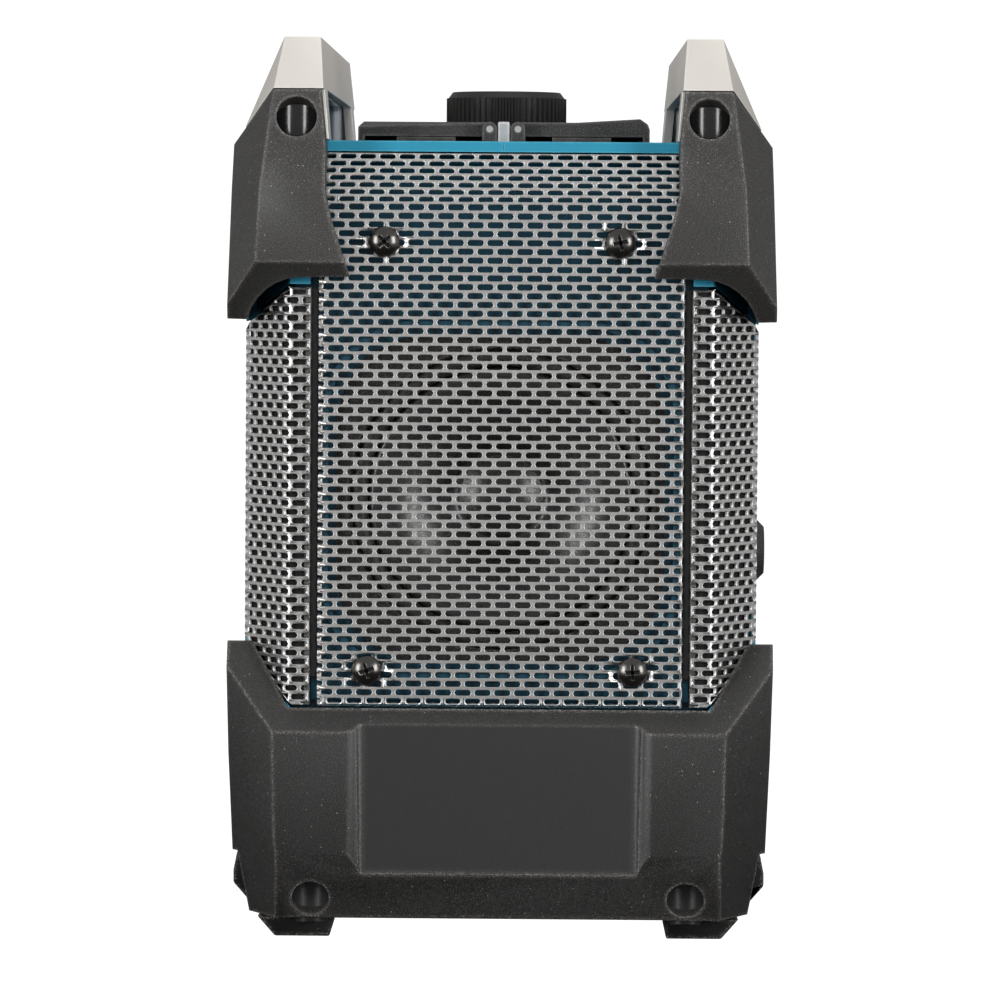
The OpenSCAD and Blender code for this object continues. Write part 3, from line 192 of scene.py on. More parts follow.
# %% White world
camera_white = 1.1
world = bpy.data.worlds.new("studio")
bpy.context.scene.world = world
world.use_nodes = True
tree = world.node_tree
tree.nodes.clear()
sky = add(tree, "Background", Color=(1, 1, 1, 1))
along = split(add(tree, "TexCoord").outputs["Generated"])["X"]
darker_behind = stretch(along, -0.1, 0.7, 0.6, 0.32)
join(by_ray(tree, camera_white, darker_behind, 0.32), sky.inputs["Strength"])
join(sky.outputs[0], tree.nodes.new("ShaderNodeOutputWorld").inputs[0])
bpy.context.scene.view_settings.view_transform = "Standard"
print("world is white to the camera, pale to reflections and dim for the rest")

# %% [markdown]
# Every finish starts from the same few effects. Plastic, rubber and paint all have a fine grain
# and a slow change of tone, their edges are paler, partly worn by handling and partly as a
# painted highlight, and the black rubber in the photograph carries pale specks of dust. Each
# effect is one node group, and each material places it with its own values. The groups work in
# object coordinates, which are metres here, so a scale of 1000 makes features of one millimetre.
# Four more groups are masks of a place on the radio: two put painted shade behind the grilles and
# on the floor of the sunk panels, one puts a painted sheen in the finger pockets, and one a grey
# colour under the roll bars.

# %% Making and placing groups
def new_group(name, outputs, **inputs):
    """An empty node group with float sockets; inputs come with their usual values."""
    group = bpy.data.node_groups.new(name, "ShaderNodeTree")
    for key, value in inputs.items():
        group.interface.new_socket(key.replace("_", " "), in_out="INPUT",
                                   socket_type="NodeSocketFloat").default_value = value
    for socket in outputs:
        group.interface.new_socket(socket, in_out="OUTPUT", socket_type="NodeSocketFloat")
    print("made group", name)
    given = group.nodes.new("NodeGroupInput").outputs
    return group, given, group.nodes.new("NodeGroupOutput").inputs

def use_group(tree, name, **values):
    """Place a node group in a material with some of its inputs set."""
    node = add(tree, "Group")
    node.node_tree = bpy.data.node_groups[name]
    return fill_in(node, values).outputs

# %% Node group: moulded grain
tree, given, result = new_group("moulded_grain", ["Height", "Tone"], Grain_Scale=1600.0,
                                Tone_Scale=60.0)
fine = pattern(tree, "TexNoise", given["Grain Scale"], Detail=3.0, Roughness=0.6)
slow = pattern(tree, "TexNoise", given["Tone Scale"], Detail=4.0, Roughness=0.55)
join(fine["Fac"], result["Height"])
join(stretch(slow["Fac"], 0.3, 0.7), result["Tone"])

# %% Node group: edge mask, for edges that are paler from wear and from a painted highlight, and for dust along edges
tree, given, result = new_group("edge_mask", ["Mask"], Width=0.0012, Breakup_Scale=300.0,
                                Breakup_Low=0.35, Breakup_High=0.6, Least=0.25)
rounded = add(tree, "Bevel")
rounded.samples = 4
join(given["Width"], rounded.inputs["Radius"])
facing = add(tree, "VectorMath")
facing.operation = "DOT_PRODUCT"
join(rounded.outputs[0], facing.inputs[0])
join(add(tree, "NewGeometry").outputs["Normal"], facing.inputs[1])
turned = stretch(facing.outputs["Value"], 0.999, 0.90)
chips = pattern(tree, "TexNoise", given["Breakup Scale"], Detail=5.0, Roughness=0.7)
broken = stretch(chips["Fac"], given["Breakup Low"], given["Breakup High"], given["Least"])
join(all_of(turned, broken), result["Mask"])

# %% Node group: dust specks
tree, given, result = new_group("dust_specks", ["Mask"], Scale=620.0, Size=0.11, Share=0.7)
cells = pattern(tree, "TexVoronoi", given["Scale"])
chance = add(tree, "SeparateColor")
join(cells["Color"], chance.inputs[0])
speck_size = maths("MULTIPLY", chance.outputs[1], given["Size"])
near = maths("LESS_THAN", cells["Distance"], speck_size)
chosen = maths("LESS_THAN", chance.outputs[0], given["Share"])
join(all_of(near, chosen), result["Mask"])

# %% Node group: painted shade behind the grille
tree, given, result = new_group("behind_the_grille", ["Mask"], Face_X=0.128, Lean_From=0.2224,
                                Lean_Slope=0.7265, Side=0.0745, Top=0.2394)
spot = split(place_on(tree))
above = maths("MAXIMUM", maths("SUBTRACT", spot["Z"], given["Lean From"]), 0.0)
face_at = maths("SUBTRACT", given["Face X"], all_of(above, given["Lean Slope"]))
depth = maths("SUBTRACT", face_at, absolute(spot["X"]))
deep = stretch(depth, 0.0007, 0.001)
inside = maths("LESS_THAN", absolute(spot["Y"]), given["Side"])
under = maths("LESS_THAN", spot["Z"], given["Top"])
join(all_of(deep, inside, under), result["Mask"])

# %% Node group: under the roll bars
tree, given, result = new_group("under_the_bars", ["Mask"], Least_Y=0.0525, Least_Z=0.2385,
                                Half_X=0.112)
spot = split(place_on(tree))
outer = maths("GREATER_THAN", absolute(spot["Y"]), given["Least Y"])
high = maths("GREATER_THAN", spot["Z"], given["Least Z"])
inner = maths("LESS_THAN", absolute(spot["X"]), given["Half X"])
join(all_of(outer, high, inner), result["Mask"])

# %% Node group: painted shade on the floor of the sunk panels
tree, given, result = new_group("painted_shade_in_sunk_panel", ["Mask"], Half_Y=0.0412, Low_Z=0.0205,
                                High_Z=0.0665, Fade=0.002)
spot = split(place_on(tree))
wide = maths("SUBTRACT", given["Half Y"], absolute(spot["Y"]))
over = maths("SUBTRACT", spot["Z"], given["Low Z"])
below = maths("SUBTRACT", given["High Z"], spot["Z"])
least = maths("MINIMUM", wide, maths("MINIMUM", over, below))
join(stretch(least, 0.0, given["Fade"]), result["Mask"])

# %% Node group: painted sheen down the round ends of the finger pockets
tree, given, result = new_group("pocket_painted_sheen", ["Mask"], Middle_Y=0.0588, Half_Width=0.0016,
                                Least_X=0.085)
spot = split(place_on(tree))
off = absolute(maths("SUBTRACT", absolute(spot["Y"]), given["Middle Y"]))
part_off = maths("DIVIDE", off, given["Half Width"])
band = stretch(part_off, 0.35, 1.0, 1.0, 0.0)
far = maths("GREATER_THAN", absolute(spot["X"]), given["Least X"])
join(all_of(band, far), result["Mask"])

# %% [markdown]
# The finishes come next. The shader itself stays in the material. Fixed values such as a coat
# or a plain roughness sit on the shader's own sockets, and only what changes over the surface is
# linked, so that the exported model keeps all of it. Colours are given in display values.

# %% A starting point for all finishes
finishes = {}

def finish(slot, roughness, grain, depth, strength=0.5, tone=60.0, metallic=0.0, **values):
    """A new material with a fine grain; returns its tree, shader inputs and grain outputs.

    roughness is its lowest and highest value, grain and tone are the scales of the grain and of
    the slow change of tone, and depth is the grain's height in metres."""
    material = bpy.data.materials.new(slot)
    material.use_nodes = True
    tree = material.node_tree
    shader = fill_in(tree.nodes["Principled BSDF"], {"Metallic": metallic, **values}).inputs
    finishes[slot] = material
    skin = use_group(tree, "moulded_grain", Grain_Scale=grain, Tone_Scale=tone)
    join(stretch(skin["Height"], 0.3, 0.7, *roughness), shader["Roughness"])
    if depth:
        bump = add(tree, "Bump", Strength=strength, Distance=depth)
        join(skin["Height"], bump.inputs["Height"])
        join(bump.outputs["Normal"], shader["Normal"])
    return tree, shader, skin

def moulded(slot, dark, light, roughness, grain=1600.0, depth=0.00004, edges=None, dust=None,
            edge_width=0.0012, pale_grain=None, masks=None, **values):
    """A toned base, with pale grain, edges paler from wear and painted highlight, dust and masked
    places if asked for.

    masks gives, for the name of each mask group, one colour or the two ends of a toned one."""
    tree, shader, skin = finish(slot, roughness, grain, depth, **values)
    colour = blend(skin["Tone"], dark, light)
    if pale_grain:
        grains = stretch(skin["Height"], 0.52, 0.66, 0, 1)
        colour = blend(grains, colour, pale_grain)
    if edges:
        # wear and painted highlight: the edges are paler, partly from handling and partly as a
        # painted highlight
        worn_and_highlit_edges = use_group(tree, "edge_mask", Width=edge_width)
        colour = blend(worn_and_highlit_edges["Mask"], colour, edges)
    if dust:
        specks = use_group(tree, "dust_specks")
        powder = use_group(tree, "edge_mask", Width=0.002, Breakup_Scale=2100,
                           Breakup_Low=0.5, Breakup_High=0.6, Least=0.0)
        dusty = maths("MAXIMUM", specks["Mask"], powder["Mask"])
        colour = blend(dusty, colour, dust)
    for group, there in (masks or {}).items():
        if isinstance(there[0], tuple):
            there = blend(skin["Tone"], *there)
        colour = blend(use_group(tree, group)["Mask"], colour, there)
    join(colour, shader["Base Color"])

# %% Rubber
rubber = dict(roughness=(0.4, 0.58), grain=3000, depth=0.00006, dust=(160, 156, 150), tone=45,
              strength=0.9, edge_width=0.0016)
moulded("black_rubber", (27, 26, 25), (36, 35, 34), edges=(66, 65, 63), pale_grain=(88, 86, 83),
        Specular_IOR_Level=0.65, **rubber)
# painted shade: the floor of the sunk panel is painted darker than the rest of the lower bumper
moulded("lower_rubber", (22, 22, 21), (30, 29, 29), edges=(66, 65, 63), pale_grain=(78, 76, 74),
        masks={"painted_shade_in_sunk_panel": (14, 14, 14)}, Specular_IOR_Level=0.65, **rubber)
moulded("foot_rubber", (5, 5, 5), (9, 9, 9), edges=(34, 34, 33), Specular_IOR_Level=0.3, **rubber)
print("rubber:", sorted(finishes))

# %% Plastic, cloth and the coated speaker cone
moulded("black_plastic", (26, 26, 27), (34, 34, 34), (0.42, 0.62), grain=2400, depth=0.00007,
        edges=(104, 102, 98), strength=0.8, pale_grain=(84, 82, 79))
# painted sheen: a near white band down the round ends of the finger pockets
moulded("gloss_grey_plastic", (104, 116, 130), (122, 134, 148), (0.12, 0.2), grain=900,
        depth=0.00001, strength=0.3, masks={"pocket_painted_sheen": (236, 239, 242)}, Coat_Weight=0.3)
moulded("light_grey_plastic", (150, 152, 153), (168, 169, 169), (0.3, 0.45), grain=2000,
        depth=0.00002, edges=(225, 225, 224))
moulded("key_plastic", (44, 45, 47), (56, 57, 59), (0.35, 0.5), grain=2000, depth=0.00002,
        edges=(110, 110, 112))
moulded("cone_paper", (24, 24, 25), (30, 30, 31), (0.24, 0.34), grain=700, depth=0.00002,
        Specular_IOR_Level=1.0)
for slot, dark, light, roughness, grain, depth in (
        ("battery_plastic", (34, 34, 36), (44, 44, 46), (0.45, 0.65), 1100, 0.00005),
        ("socket_parts", (34, 34, 35), (46, 46, 47), (0.3, 0.45), 1800, 0.00001),
        ("display_glass", (120, 132, 104), (138, 150, 118), (0.2, 0.3), 3000, 0.000005),
        ("well_gloss", (16, 16, 17), (22, 22, 23), (0.14, 0.24), 900, 0.00001),
        ("well_satin", (34, 34, 34), (40, 40, 40), (0.3, 0.42), 1500, 0.00002),
        ("knob_black", (20, 20, 20), (28, 28, 28), (0.34, 0.48), 1500, 0.00003),
        ("black_cloth", (10, 10, 11), (14, 14, 15), (0.8, 0.95), 2600, 0.0001)):
    moulded(slot, dark, light, roughness, grain, depth)
print("plastic, cloth and cone:", len(finishes) - 3)

# %% Teal plastic, with painted shade where it lies behind the steel sheets
# painted shade: where the teal lies behind the steel sheets it is painted darker
teal = dict(roughness=(0.4, 0.55), grain=2200, depth=0.00002, edge_width=0.0008, masks={
    "behind_the_grille": ((0, 50, 66), (0, 60, 78)), "under_the_bars": (96, 106, 116)},
    Specular_IOR_Level=0.4)
moulded("teal_plastic", (37, 137, 167), (41, 142, 172), edges=(90, 178, 202), **teal)
# painted shade: the dark teal of the end panels is a shaded copy of the teal, as they lie behind
# the grilles
moulded("dark_teal_plastic", (4, 84, 108), (8, 96, 122), edges=(30, 120, 146), **teal)
print("teal plastic in two tones")

# %% Silver paint of the roll bars
tree, shader, skin = finish("silver_paint", (0.38, 0.55), 2600, 0.00002, 0.3, 40.0, metallic=0.5,
                            Coat_Weight=0.1)
flake = blend(skin["Height"], (200, 194, 186), (238, 234, 227))
toned = blend(skin["Tone"], flake, (222, 217, 210))
# wear and painted highlight: the bar's edges are paler, partly from handling and partly as a
# painted highlight
worn_and_highlit_edges = use_group(tree, "edge_mask", Width=0.001)
join(blend(worn_and_highlit_edges["Mask"], toned, (238, 235, 230)), shader["Base Color"])

# %% Punched steel sheet, with a painted highlight on the slot rims that face the side lights
corner_from = 0.0636
tree, shader, skin = finish("steel_sheet", (0.24, 0.36), 1400, 0.00003, 0.35, 90.0)
tone = blend(skin["Tone"], (190, 189, 187), (200, 199, 197))
flecks = stretch(skin["Height"], 0.45, 0.7, 0, 0.6)
flecked = blend(flecks, tone, (222, 221, 219))
# painted highlight: rims whose faces turn towards the side lights are painted near white and less
# metallic
turned = split(add(tree, "NewGeometry").outputs["True Normal"])
side = absolute(split(place_on(tree))["Y"])
centre_rim_highlight = all_of(maths("LESS_THAN", side, corner_from), stretch(absolute(turned["Y"]), 0.4, 0.6))
slanted = all_of(maths("GREATER_THAN", side, corner_from),
                 stretch(absolute(turned["X"]), 0.62, 0.72))
rim = maths("MAXIMUM", centre_rim_highlight, slanted)
join(blend(rim, flecked, (250, 250, 250)), shader["Base Color"])
join(stretch(rim, 0.0, 1.0, 1.0, 0.15), shader["Metallic"])

# %% Other metals
polished = dict(grain=1200.0, strength=0.3, tone=120.0)
for slot, dark, light, roughness, depth, metallic in (
        ("black_screw", (80, 78, 76), (92, 90, 87), (0.18, 0.26), 0.00001, 1.0),
        ("bright_steel", (205, 205, 207), (226, 226, 228), (0.08, 0.18), 0.00001, 1.0),
        ("grey_metal", (150, 152, 154), (172, 174, 176), (0.3, 0.45), 0.00001, 1.0),
        ("brass_contacts", (198, 160, 82), (222, 186, 108), (0.22, 0.36), 0.00001, 1.0),
        ("magnet_iron", (92, 92, 94), (112, 112, 114), (0.45, 0.65), 0.00005, 1.0),
        ("ferrite", (58, 54, 50), (74, 70, 66), (0.6, 0.8), 0.00005, 0.2)):
    moulded(slot, dark, light, roughness, depth=depth, metallic=metallic, **polished)
print("metals are ready")

# %% Circuit board and smoked display window
tree, shader, skin = finish("circuit_board", (0.25, 0.4), 2000, 0.00002, 0.3, 400.0,
                            Coat_Weight=0.4)
traces = pattern(tree, "TexBrick", 180.0, Mortar_Size=0.02)
base = blend(skin["Tone"], (22, 92, 52), (30, 108, 62))
join(blend(traces["Fac"], base, (60, 150, 92)), shader["Base Color"])
moulded("display_window", (66, 70, 74), (78, 82, 86), (0.03, 0.09), grain=500, depth=0.0,
        tone=40.0, Transmission_Weight=0.7, IOR=1.49)
print("finishes:", len(finishes))

# %% Give every carried-over part its finish
slots = {part["node"]: part["material_slot"] for part in frame["record"]["subparts"]}

def dress(piece, slot, look=None):
    """Put a finish on a piece; look names a variant of it."""
    piece.data.materials.clear()
    piece.data.materials.append(finishes[look or slot])
    return piece

for name, part in frame["nodes"].items():
    dress(part, slots[name])
dress(frame["nodes"]["top_knob"], "black_plastic", "knob_black")
print("dressed", len(frame["nodes"]), "parts of the frame")

# %% [markdown]
# The end grilles are punched steel. Slots of 5.0 by 1.7 mm stand in rows 2.66 mm apart, and every
# second row is shifted by half a slot, like bricks. Each sheet is made the way the real one is: a
# flat blank is laid out, punched, and then folded. The blank is a grid whose cells are joined in
# pairs, cut to the outline, and inset to leave the slots. Folding moves the blank's points round
# the bends, the screw dimples are pressed in, and the sheet gets its thickness last. Behind the
# Behind the corner sheets hangs a black sheet of painted shade, which is the same blank left
# unpunched.

# %% Helpers for shapes
def as_piece(bm, name):
    """Turn a bmesh into an object at the origin."""
    mesh = bpy.data.meshes.new(name)
    bm.to_mesh(mesh)
    bm.free()
    return placed(name, mesh)

def settle(piece, slot, body="root", stands_for=None, look=None):
    """Dress a piece, let it ride on a body and, where it stands for a node, replace that one."""
    dress(piece, slot, look)
    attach(piece, body)
    if stands_for:
        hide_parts(stands_for)
    print(piece.name, len(piece.data.polygons), "faces")

def cut_off(bm, point, normal):
    """Cut along a plane and drop the side that the normal points to."""
    ops.bisect_plane(bm, geom=bm.verts[:] + bm.edges[:] + bm.faces[:], dist=1e-7,
                     plane_co=point, plane_no=normal, clear_outer=True)

def round_off(bm, edges, radius, segments, clamp=False, slide=True):
    """Round some edges; clamp makes the radius smaller where the faces leave no room."""
    ops.bevel(bm, geom=edges, offset=radius, offset_type="OFFSET", affect="EDGES", profile=0.5,
              segments=segments, material=-1, clamp_overlap=clamp, loop_slide=slide)

def face_outwards(bm):
    """Turn all faces of an open shell of the right end outwards."""
    ops.recalc_face_normals(bm, faces=bm.faces)
    if sum((f.normal * f.calc_area() for f in bm.faces), Vector()).x < 0:
        ops.reverse_faces(bm, faces=bm.faces)

def set_on_side(bm, name, sx, sy=1):
    """Mirror a piece modelled on the right rear to its place and make it an object."""
    ops.scale(bm, vec=(sx, sy, 1), verts=bm.verts)
    if sx != sy:
        ops.reverse_faces(bm, faces=bm.faces)
    return as_piece(bm, name)

# %% Sizes of the punched sheets
slot_pitch = 5.96 * MM
row_pitch = 2.656 * MM
slot_length = 4.98 * MM
web = 0.48 * MM
sheet_thickness = 0.8 * MM
rim_soft = 0.19 * MM
sheet_low, sheet_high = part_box("left_centre_grille")
corner_low, corner_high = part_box("left_rear_grille")
face_x = -sheet_low.x
centre_half = sheet_high.y
seal_side = corner_low.y
body_side = corner_high.y
first_row_z = 72.0 * MM
slot_shift = 0.9 * MM
side_fold_radius, side_fold = 1.0 * MM, radians(88)
print("face at x", round(face_x / MM, 2), "mm; centre sheet half", round(centre_half / MM, 2))

# %% A flat punched blank
def brick_cells(columns, rows, first=0):
    """A flat grid of half slots, joined in pairs to bricks; x runs along a row, y up the rows.

    first is 1 where the lowest row starts with a whole brick."""
    bm = bmesh.new()
    ops.create_grid(bm, x_segments=2 * columns, y_segments=rows, size=0.5)
    ops.scale(bm, vec=(columns * slot_pitch, rows * row_pitch, 1), verts=bm.verts)
    joints = []
    for edge in bm.edges:
        a, b = edge.verts
        if abs(a.co.x - b.co.x) > 1e-7 or edge.is_boundary:
            continue
        line = round(a.co.x / (slot_pitch / 2)) + columns
        row = floor((a.co.y + b.co.y) / 2 / row_pitch + rows / 2)
        if (line + row + first) % 2:
            joints.append(edge)
    ops.dissolve_edges(bm, edges=joints, use_verts=False, use_face_split=False)
    return bm

def trim(bm, point, outward):
    """Cut a flat blank along a line and drop the side that outward points to."""
    cut_off(bm, (*point, 0), (*outward, 0))

def round_ends(bm, faces):
    """Give the punched holes of whole bricks their round ends."""
    radius = row_pitch / 2 - web
    upright = [e for f in faces for e in f.edges if abs(e.verts[0].co.x - e.verts[1].co.x) < 1e-7]
    ops.bisect_edges(bm, edges=upright, cuts=3)
    for face in faces:
        centre = face.calc_center_bounds()
        for vert in face.verts:
            offset = vert.co - centre
            if abs(offset.x) < 0.3 * slot_length:
                continue
            angle = offset.y / radius * pi / 2
            reach = slot_length / 2 - radius + radius * cos(angle)
            vert.co = centre + Vector((copysign(reach, offset.x), radius * sin(angle), 0))

def shrink_slot(bm, face):
    """Shrink a cut brick's slot about its middle, so that the sheet keeps a web round it."""
    width = max(v.co.x for v in face.verts) - min(v.co.x for v in face.verts)
    rest = slot_pitch - slot_length
    centre = face.calc_center_median_weighted()
    size = Vector((max((width - rest) / width, 0.3), 1 - 2.2 * web / row_pitch, 1))
    ops.scale(bm, vec=size, verts=face.verts[:], space=Matrix.Translation(-centre))

def punch(bm):
    """Inset every brick, round the ends of whole ones, and remove the slots.

    A cut brick gets a slot of its own where a third of it is left or more."""
    nearly, third = (share * slot_pitch * row_pitch for share in (0.99, 0.34))
    whole = [f for f in bm.faces if f.calc_area() > nearly]
    cut = [f for f in bm.faces if third < f.calc_area() <= nearly]
    ops.inset_individual(bm, faces=whole, thickness=web, use_even_offset=True)
    round_ends(bm, whole)
    ops.inset_individual(bm, faces=cut, thickness=0.01 * MM, use_even_offset=False)
    for face in cut:
        shrink_slot(bm, face)
    ops.delete(bm, geom=whole + cut, context="FACES")

# %% Folding
def fold(distance, bends):
    """The place at a distance along a path of straight runs and arcs.

    bends is a list of (start, radius, angle): the path turns by angle round radius from start."""
    x = y = heading = at = 0.0
    for start, radius, angle in bends:
        if distance <= start:
            break
        x += (start - at) * cos(heading)
        y += (start - at) * sin(heading)
        arc = radius * abs(angle)
        part = min(distance - start, arc) / arc
        turn = angle * part
        side = 1 if angle > 0 else -1
        x += radius * (sin(heading + turn) - sin(heading)) * side
        y -= radius * (cos(heading + turn) - cos(heading)) * side
        heading += turn
        at = start + arc * part
        if part < 1:
            return x, y
    x += (distance - at) * cos(heading)
    y += (distance - at) * sin(heading)
    return x, y

def to_sheet(bm, name, *side):
    """Thicken a folded shell inwards, soften the punched rims, and set it on its side."""
    ops.remove_doubles(bm, verts=bm.verts, dist=1e-6)
    face_outwards(bm)
    front = set(bm.faces)
    ops.solidify(bm, geom=bm.faces[:], thickness=sheet_thickness)
    rims = [e for e in bm.edges if len([f for f in e.link_faces if f in front]) == 1]
    round_off(bm, rims, rim_soft, 1, slide=False)
    return set_on_side(bm, name, *side)

# %% Screw places and their dimples
# Each place is its distance from the middle, its height, and the turns of the two screws' crosses.
screw_places = [(35.5 * MM, 210.4 * MM, (12, 42)), (40.1 * MM, 81.2 * MM, (3, 18))]
dimple_reach = 5.6 * MM
dimple_floor = 3.0 * MM
dimple_depth = 1.2 * MM
dimple_wide = 1.5

def press_dimples(bm):
    """Push the sheet in round each screw, with a smooth rise from floor to rim."""
    for y, z in [(sign * y, z) for y, z, _ in screw_places for sign in (-1, 1)]:
        for vert in bm.verts:
            away = hypot((vert.co.y - y) / dimple_wide, vert.co.z - z)
            if away < dimple_reach and vert.co.x > face_x - 3 * MM:
                part = min(max((dimple_reach - away) / (dimple_reach - dimple_floor), 0), 1)
                vert.co.x -= dimple_depth * part * part * (3 - 2 * part)

# %% Centre sheets
centre_columns, centre_rows, rows_below = 20, 65, 1
shoulder_z = 222.4 * MM
shoulder_lean = radians(36)
centre_top_z = 237.4 * MM
foot_fold_radius = 2.0 * MM
foot = 70.3 * MM + foot_fold_radius

def centre_sheet(name, sx):
    """The middle sheet of an end, with its lean at the top and its edges folded back."""
    bm = brick_cells(centre_columns, centre_rows, 1)
    low = first_row_z - (rows_below + 0.5) * row_pitch
    ops.translate(bm, vec=(-slot_shift, low + centre_rows * row_pitch / 2, 0), verts=bm.verts)
    for sign in (-1, 1):
        trim(bm, (sign * (centre_columns / 2 * slot_pitch - slot_shift), 0), (sign, 0))
    lean_length = (centre_top_z - shoulder_z) / cos(shoulder_lean)
    trim(bm, (0, shoulder_z + lean_length), (0, 1))
    punch(bm)
    side_bend = [(centre_half - side_fold_radius, side_fold_radius, side_fold)]
    up_bend = [(shoulder_z - foot - 1 * MM, 3 * MM, shoulder_lean)]
    down_bend = [(0, foot_fold_radius, radians(80))]
    for vert in bm.verts:
        across, back = fold(abs(vert.co.x), side_bend)
        up = vert.co.y - foot
        rise, in_x = fold(up, up_bend) if up > 0 else fold(-up, down_bend)
        z = foot + (rise if up > 0 else -rise)
        vert.co = Vector((face_x - in_x - back, copysign(across, vert.co.x), z))
    press_dimples(bm)
    return to_sheet(bm, name, sx)

ends = (("left", -1), ("right", 1))
flanks = (("front", -1), ("rear", 1))
for end, sx in ends:
    name = end + "_centre_grille"
    settle(centre_sheet(name + "_punched", sx), "steel_sheet", stands_for=name)

# %% Corner sheets
facet_y, facet_x = 63.6 * MM, 105.6 * MM
corner_top = 196.9 * MM
corner_rows = 50
corner_row_shift = 1.1 * MM
corner_rim = 0.6 * MM
corner_fold_radius = 3 * MM
back_fold = 3 * MM
shade_sheet_gap = 1.5 * MM
shade_sheet_thickness = 0.3 * MM

def cut_slope(y_from, z_from, y_to, z_to):
    """How steeply a cut that is given on the end view, in mm, runs along the slanted facet."""
    facet_share = (78 - 63.6) / hypot(22.4, 14.4)
    return abs(z_to - z_from) / (y_to - y_from) * facet_share

def corner_sheet(name, sx, sy, punched=True):
    """A narrow flat, the slanted facet and the run along the side, punched or plain."""
    facet = Vector((face_x - facet_x, body_side - facet_y)).length
    facet_angle = atan2(face_x - facet_x, body_side - facet_y)
    flat = facet_y - seal_side
    run_side = flat + facet
    width = run_side + facet_x + corner_high.x
    columns = ceil((width + back_fold) / slot_pitch) + 1
    bm = brick_cells(columns, corner_rows)
    low = first_row_z + corner_row_shift - 1.5 * row_pitch
    ops.translate(bm, verts=bm.verts, vec=(
        columns * slot_pitch / 2 - back_fold, low + corner_rows * row_pitch / 2, 0))
    low_edge, top_edge = corner_low.z + corner_rim, corner_top - corner_rim
    trim(bm, (width - corner_rim, 0), (1, 0))
    trim(bm, (0, top_edge), (0, 1))
    trim(bm, (0, low_edge), (0, -1))
    low_slope, top_slope = cut_slope(62.5, 70.1, 80, 93), cut_slope(63.6, 196.9, 80, 183.5)
    trim(bm, (flat - 1.1 * MM, low_edge), Vector((low_slope, -1)).normalized())
    trim(bm, (flat, top_edge), Vector((top_slope, 1)).normalized())
    if punched:
        punch(bm)
    bends = [(flat - 1 * MM, corner_fold_radius, facet_angle),
             (run_side - 1.5 * MM, corner_fold_radius, pi / 2 - facet_angle)]
    for vert in bm.verts:
        if vert.co.x < side_fold_radius:
            across, back = fold(side_fold_radius - vert.co.x, [(0, side_fold_radius, side_fold)])
            across = side_fold_radius - across
        else:
            across, back = fold(vert.co.x, bends)
        vert.co = Vector((face_x - back, seal_side + across, vert.co.y))
    return (to_sheet if punched else to_shade_sheet)(bm, name, sx, sy)

def to_shade_sheet(bm, name, *side):
    """Set an unpunched sheet back behind the steel, as a black sheet of painted shade."""
    face_outwards(bm)
    bm.normal_update()
    behind = {v: v.co - v.normal * shade_sheet_gap for v in bm.verts}
    for vert, place in behind.items():
        vert.co = place
    ops.solidify(bm, geom=bm.faces[:], thickness=shade_sheet_thickness)
    return set_on_side(bm, name, *side)

for end, sx in ends:
    for flank, sy in flanks:
        corner = end + "_" + flank
        sheet = corner_sheet(corner + "_grille_punched", sx, sy)
        settle(sheet, "steel_sheet", stands_for=corner + "_grille")
        # painted shade: a black sheet behind each corner sheet darkens the recess there
        shade_sheet = corner_sheet(corner + "_dust_cloth", sx, sy, punched=False)
        settle(shade_sheet, "black_rubber", look="black_cloth")

# %% [markdown]
# Bumpers, bars, covers and feet are moulded or cast, so their edges are never knife sharp. Each
# one starts as a copy of its construction part, because the shape is already right. The copy's
# loose triangles are merged, its flat faces joined and its edges rounded, with a larger radius
# where the real mould has it. That only takes material away, so the piece stays in its part.

# %% Copies with soft edges
def copy_of(node):
    """A merged copy of a part of the frame, with its flat faces joined."""
    bm = bmesh.new()
    bm.from_mesh(frame["nodes"][node].data)
    ops.remove_doubles(bm, verts=bm.verts, dist=2e-6)
    ops.dissolve_limit(bm, angle_limit=radians(1.0), verts=bm.verts, edges=bm.edges)
    return bm

def sharp_edges(bm, least, where):
    """Edges whose faces meet at more than some degrees, and for which where holds."""
    return [e for e in bm.edges if len(e.link_faces) == 2
            and e.calc_face_angle(0) > radians(least) and where(e)]

def soft_piece(node, name, slot, body="root", radius=0.8, least=28, shape=None, look=None):
    """Stand in for a part with a copy whose edges are rounded by a radius in millimetres.

    Edges sharper than some degrees are rounded, and shape may work on the copy first."""
    bm = copy_of(node)
    if shape:
        shape(bm)
    piece = as_piece(bm, name)
    rounding = piece.modifiers.new("soft_edges", "BEVEL")
    rounding.limit_method = "ANGLE"
    rounding.angle_limit = radians(least)
    rounding.width = radius * MM
    rounding.segments = 3
    rounding.harden_normals = True
    rounding.use_clamp_overlap = True
    piece.data.shade_smooth()
    settle(piece, slot, body, node, look)

# %% Corner bumpers
for end, _ in ends:
    for flank, _ in flanks:
        corner = end + "_" + flank
        soft_piece(corner + "_bumper", corner + "_corner_rubber", "black_rubber", radius=0.9)

# %% Lower bumpers, with the round wall of their sunk panel
panel_half = 44.4 * MM
panel_lean = 2.4 * MM
panel_rim_radius, panel_foot_radius = 2.2 * MM, 1.3 * MM
bumper_skin_x = 134.6 * MM

def at_wall(vert, y, low, high):
    """Whether a point lies at a distance from the middle and between two heights in mm."""
    return abs(abs(vert.co.y) - y) < 0.1 * MM and low * MM < vert.co.z < high * MM

def along_wall(edge, y, low, high):
    """Whether an edge runs along the sunk panel's upright wall."""
    return abs(edge.verts[0].co.y - edge.verts[1].co.y) < MM and all(
        at_wall(vert, y, low, high) for vert in edge.verts)

